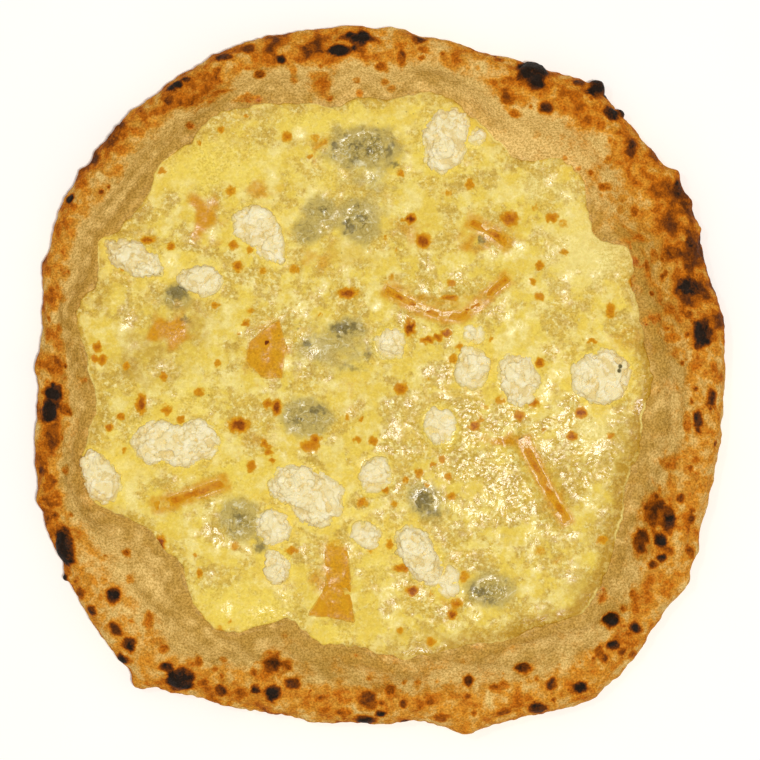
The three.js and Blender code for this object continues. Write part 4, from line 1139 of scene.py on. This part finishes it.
def crumbled(mesh, size, depth, swell, seed):
    """Swells a smooth lump and breaks it up into curds and ledges. Returns a mask of its cracks and low
    places, which the materials darken: painted shade on the ricotta, veins and painted shade on the blue
    cheese.
    """
    points = points_of(mesh)
    bent = points + 0.22 * size * sway(points, 0.8 * size, seed)
    nearest, gap = curds(bent, size, seed + 10)
    crack = fade(gap, 0.09)
    small, small_gap = curds(bent, 0.42 * size, seed + 11)
    broken = np.clip(0.6 + 0.7 * ripple(points, 2.4 * size, seed + 40), 0.1, 1.2)
    lift = depth * broken * (0.3 - 0.42 * nearest**2 - 0.2 * crack + 0.16 * (0.5 - small**2))
    for k, length in enumerate((1.8 * size, 0.9 * size)):
        ledge = ripple(points, length, seed + 20 + k)
        lift += depth * (0.7 * ease(ledge, 0.0, 0.2) - 0.35)
    lift -= 0.6 * depth * ease(ripple(points, 0.5 * size, seed + 25), 0.9, 1.5)
    lift += 0.05 * ripple(points, 1.6, seed + 30)
    move_points(mesh, points + facing(mesh) * (swell + lift)[:, None])
    # Low places of the relief, kept for painted shade.
    hollow_shade = 0.9 * ease(-lift / depth, 0.0, 0.8)
    return np.maximum(broken * np.maximum(0.8 * crack, 0.4 * fade(small_gap, 0.08)), hollow_shade)


def ricotta_curds(settings):
    recipe = Recipe(
        "ricotta", Specular_IOR_Level=0.3, Subsurface_Weight=0.25, Subsurface_Radius=(1, 0.9, 0.7),
        Subsurface_Scale=0.0015,
    )
    fine, middle = recipe.noise(0.8, 3, 0.6), recipe.noise(5, 3)
    # Painted shade in the cracks and low places between the curds.
    crevice = recipe.between(recipe.sum(recipe.stored("crevice"), (fine, 0.3), -0.15), 0.15, 1.0, 0.0, 0.8)
    colour = recipe.mix(crevice, settings.ricotta, settings.crevice)
    colour = recipe.mix(recipe.between(middle, 0.48, 0.66, 0.0, 0.6), colour, settings.dull)
    colour = recipe.flecked(colour, 4, 0.6, settings.light, 0.5, 0.62)
    # The foot of each lump: ricotta running into the melt, and painted light over the shade on its upright
    # side.
    foot = recipe.between(recipe.sum(recipe.stored("foot"), (middle, 0.5), -0.25), 0.0, 0.9, 0.0, 0.9)
    colour = recipe.mix(foot, colour, settings.foot)
    colour = recipe.mix(recipe.between(recipe.stored("vein"), 0.3, 0.8), colour, settings.pepper)
    grain = recipe.bump(recipe.noise(1.8, 3, 0.6), 0.4, 0.8)
    normal = recipe.bump(recipe.noise(0.7, 2, 0.6), 0.14, 0.8, grain)
    return recipe.finish(colour, recipe.between(middle, 0.3, 0.7, 0.5, 0.7), normal)


class PIZZA_OT_ricotta(bpy.types.Operator):
    """Model the dollops of ricotta"""

    bl_idname = "pizza.ricotta"
    bl_label = "Ricotta"

    def execute(self, context):
        settings = context.scene.pizza_toppings
        material = ricotta_curds(settings)
        for seed, node in enumerate(RICOTTA):
            mesh = evened(node, *RICOTTA_FACES)
            # The mask of painted shade between the curds.
            store(mesh, "crevice", crumbled(mesh, settings.curd / MM, CURD_DEPTH, CURD_SWELL, 100 * seed))
            points = points_of(mesh)
            foot = 1 - ease(points[:, 2], CHEESE_LEVEL + 0.4, CHEESE_LEVEL + 2.2)
            points += FOOT_SPREAD * foot[:, None] * facing(mesh) * (1, 1, 0)
            move_points(mesh, points)
            store(mesh, "foot", foot)
            store(mesh, "vein", painted(points[:, :2], VEINS, BLISTER_FADE))
            add_piece(node + "_curds", mesh, material, "ricotta", node)
        return {"FINISHED"}


class PIZZA_OT_blue_cheese(bpy.types.Operator):
    """Model the crumbles of blue cheese"""

    bl_idname = "pizza.blue_cheese"
    bl_label = "Blue cheese"

    def execute(self, context):
        material = melted("blue cheese", context.scene.pizza_melt)
        for seed, node in enumerate(BLUE_CHEESE):
            mesh = evened(node, *CRUMBLE_FACES)
            inside = ease(from_side(mesh), 0, 4)
            crack = crumbled(mesh, CRUMB, CRUMB_DEPTH, 0, 3000 + 100 * seed)
            # The cracks get dark veins; the low places are darkened by the same mask, as painted shade.
            paint(mesh, grey=0.55 + 0.35 * inside, vein=0.4 * crack * inside, wet=0.6 * inside)
            add_piece(node + "_crumble", mesh, material, "blue_cheese", node)
        return {"FINISHED"}


def smoked_areas(node, points, inside, seed):
    """How amber, browned and wet a smoked slice or rind is, by how far inside its outline a point lies."""
    if node in RINDS:
        blotches = np.clip(0.9 + 0.3 * ripple(points, 6, 220 + seed), 0, 1.5)
        brown = 0.22 + 0.38 * ease(inside, 0, 1.4) * blotches
        return {"amber": 0.55 + 0.4 * ease(inside, 0, 1.2), "brown": brown, "wet": 0.1}
    blotches = np.clip(0.4 + ripple(points, 12, 230 + seed), 0, 1.4)
    brown = 0.35 * ease(inside, 0.5, 4) * blotches
    return {"amber": 0.35 + 0.6 * ease(inside, 0, 1.6), "brown": brown, "wet": 0.35}


class PIZZA_OT_smoked_cheese(bpy.types.Operator):
    """Model the slices of smoked cheese and the strips of its rind"""

    bl_idname = "pizza.smoked_cheese"
    bl_label = "Smoked cheese"

    def execute(self, context):
        material = melted("smoked cheese", context.scene.pizza_melt)
        for seed, node in enumerate(SLICES + RINDS):
            mesh = evened(node, *SMOKED_FACES)
            inside = from_side(mesh)
            points = points_of(mesh)
            lift = 0.2 * ripple(points, 9, 200 + seed) + 0.04 * ripple(points, 3, 210 + seed)
            move_points(mesh, points + facing(mesh) * lift[:, None])
            paint(mesh, **smoked_areas(node, points, inside, seed))
            add_piece(node + "_melted", mesh, material, "smoked_cheese", node)
        return {"FINISHED"}


# ---------- stage ----------

VIEW_WIDTH = 342  # what the picture's width takes in at the rim's widest line
SENSOR = 36
FLOOR_DROP = 0.1
# In metres, as Blender has them.
FLOOR_REACH = 2
LAMP_WIDTH = 0.15
KEY_PLACE = (0.16, -0.09, 2.0)
SIDE_PLACE = (-0.6, 0.35, 1.9)
LAMP_COLOUR = (1, 0.98, 0.94)
SKY_COLOUR = (1, 0.99, 0.97, 1)


def floor_material(settings):
    recipe = Recipe("pale floor", Specular_IOR_Level=0.2, Emission_Color=(1, 1, 1, 1), Emission_Strength=0.1)
    clouds = recipe.between(recipe.noise(60, 2), 0.3, 0.7, 0.0, 0.3)
    colour = recipe.mix(clouds, settings.floor, settings.cloud)
    return recipe.finish(colour, 0.9, recipe.bump(recipe.noise(3), 0.02, 0.2))


def add_floor(settings):
    bm = bmesh.new()
    drop = Matrix.Translation((0, 0, -FLOOR_DROP * MM))
    bmesh.ops.create_grid(bm, x_segments=1, y_segments=1, size=FLOOR_REACH, matrix=drop)
    mesh = finished(bm, bpy.data.meshes.new("floor"))
    mesh.materials.append(floor_material(settings))
    floor = bpy.data.objects.new("floor", mesh)
    bpy.context.scene.collection.objects.link(floor)


def add_light(name, place, power):
    """A round lamp that shines straight down."""
    data = bpy.data.lights.new(name, "AREA")
    data.shape = "DISK"
    data.size = LAMP_WIDTH
    data.energy = power
    data.color = LAMP_COLOUR
    light = bpy.data.objects.new(name, data)
    light.location = place
    bpy.context.scene.collection.objects.link(light)


def add_camera(settings):
    """Looks straight down, from where the picture's width takes in VIEW_WIDTH."""
    data = bpy.data.cameras.new("camera")
    data.sensor_width = SENSOR
    data.lens = SENSOR * (settings.height - WIDEST_HEIGHT * MM) / (VIEW_WIDTH * MM)
    camera = bpy.data.objects.new("camera", data)
    camera.location = (CENTRE[0] * MM, CENTRE[1] * MM, settings.height)
    bpy.context.scene.collection.objects.link(camera)
    bpy.context.scene.camera = camera


class PIZZA_OT_stage(bpy.types.Operator):
    """Set up the floor, the lights and the camera"""

    bl_idname = "pizza.stage"
    bl_label = "Stage"

    def execute(self, context):
        settings = context.scene.pizza_stage
        add_floor(settings)
        add_light("key light", KEY_PLACE, settings.key)
        add_light("side light", SIDE_PLACE, settings.side)
        add_camera(settings)
        world = bpy.data.worlds.new("studio")
        world.use_nodes = True
        world.node_tree.nodes["Background"].inputs["Color"].default_value = SKY_COLOUR
        world.node_tree.nodes["Background"].inputs["Strength"].default_value = settings.sky
        context.scene.world = world
        context.scene.view_settings.view_transform = "Standard"
        return {"FINISHED"}


# ---------- the add-on ----------

SETTINGS = {
    "pizza_crust": CrustSettings,
    "pizza_melt": MeltSettings,
    "pizza_toppings": ToppingSettings,
    "pizza_stage": StageSettings,
}
OPERATORS = (
    PIZZA_OT_crust, PIZZA_OT_melt, PIZZA_OT_ricotta, PIZZA_OT_blue_cheese, PIZZA_OT_smoked_cheese,
    PIZZA_OT_stage,
)


class PIZZA_PT_panel(bpy.types.Panel):
    """Lists the pizza's pieces and their settings"""

    bl_idname = "PIZZA_PT_panel"
    bl_label = "Four cheese pizza"
    bl_space_type = "VIEW_3D"
    bl_region_type = "UI"
    bl_category = "Pizza"

    def draw(self, context):
        for operator in OPERATORS:
            self.layout.operator(operator.bl_idname)
        for name, group in SETTINGS.items():
            box = self.layout.box()
            for setting in group.__annotations__:
                box.prop(getattr(context.scene, name), setting)


def register():
    for name, group in SETTINGS.items():
        bpy.utils.register_class(group)
        setattr(bpy.types.Scene, name, bpy.props.PointerProperty(type=group))
    for cls in (*OPERATORS, PIZZA_PT_panel):
        bpy.utils.register_class(cls)


def unregister():
    for cls in reversed((*OPERATORS, PIZZA_PT_panel)):
        bpy.utils.unregister_class(cls)
    for name, group in SETTINGS.items():
        delattr(bpy.types.Scene, name)
        bpy.utils.unregister_class(group)


def main():
    register()
    bpy.ops.pizza.crust()
    bpy.ops.pizza.melt()
    bpy.ops.pizza.ricotta()
    bpy.ops.pizza.blue_cheese()
    bpy.ops.pizza.smoked_cheese()
    bpy.ops.pizza.stage()


if __name__ == "__main__":
    main()
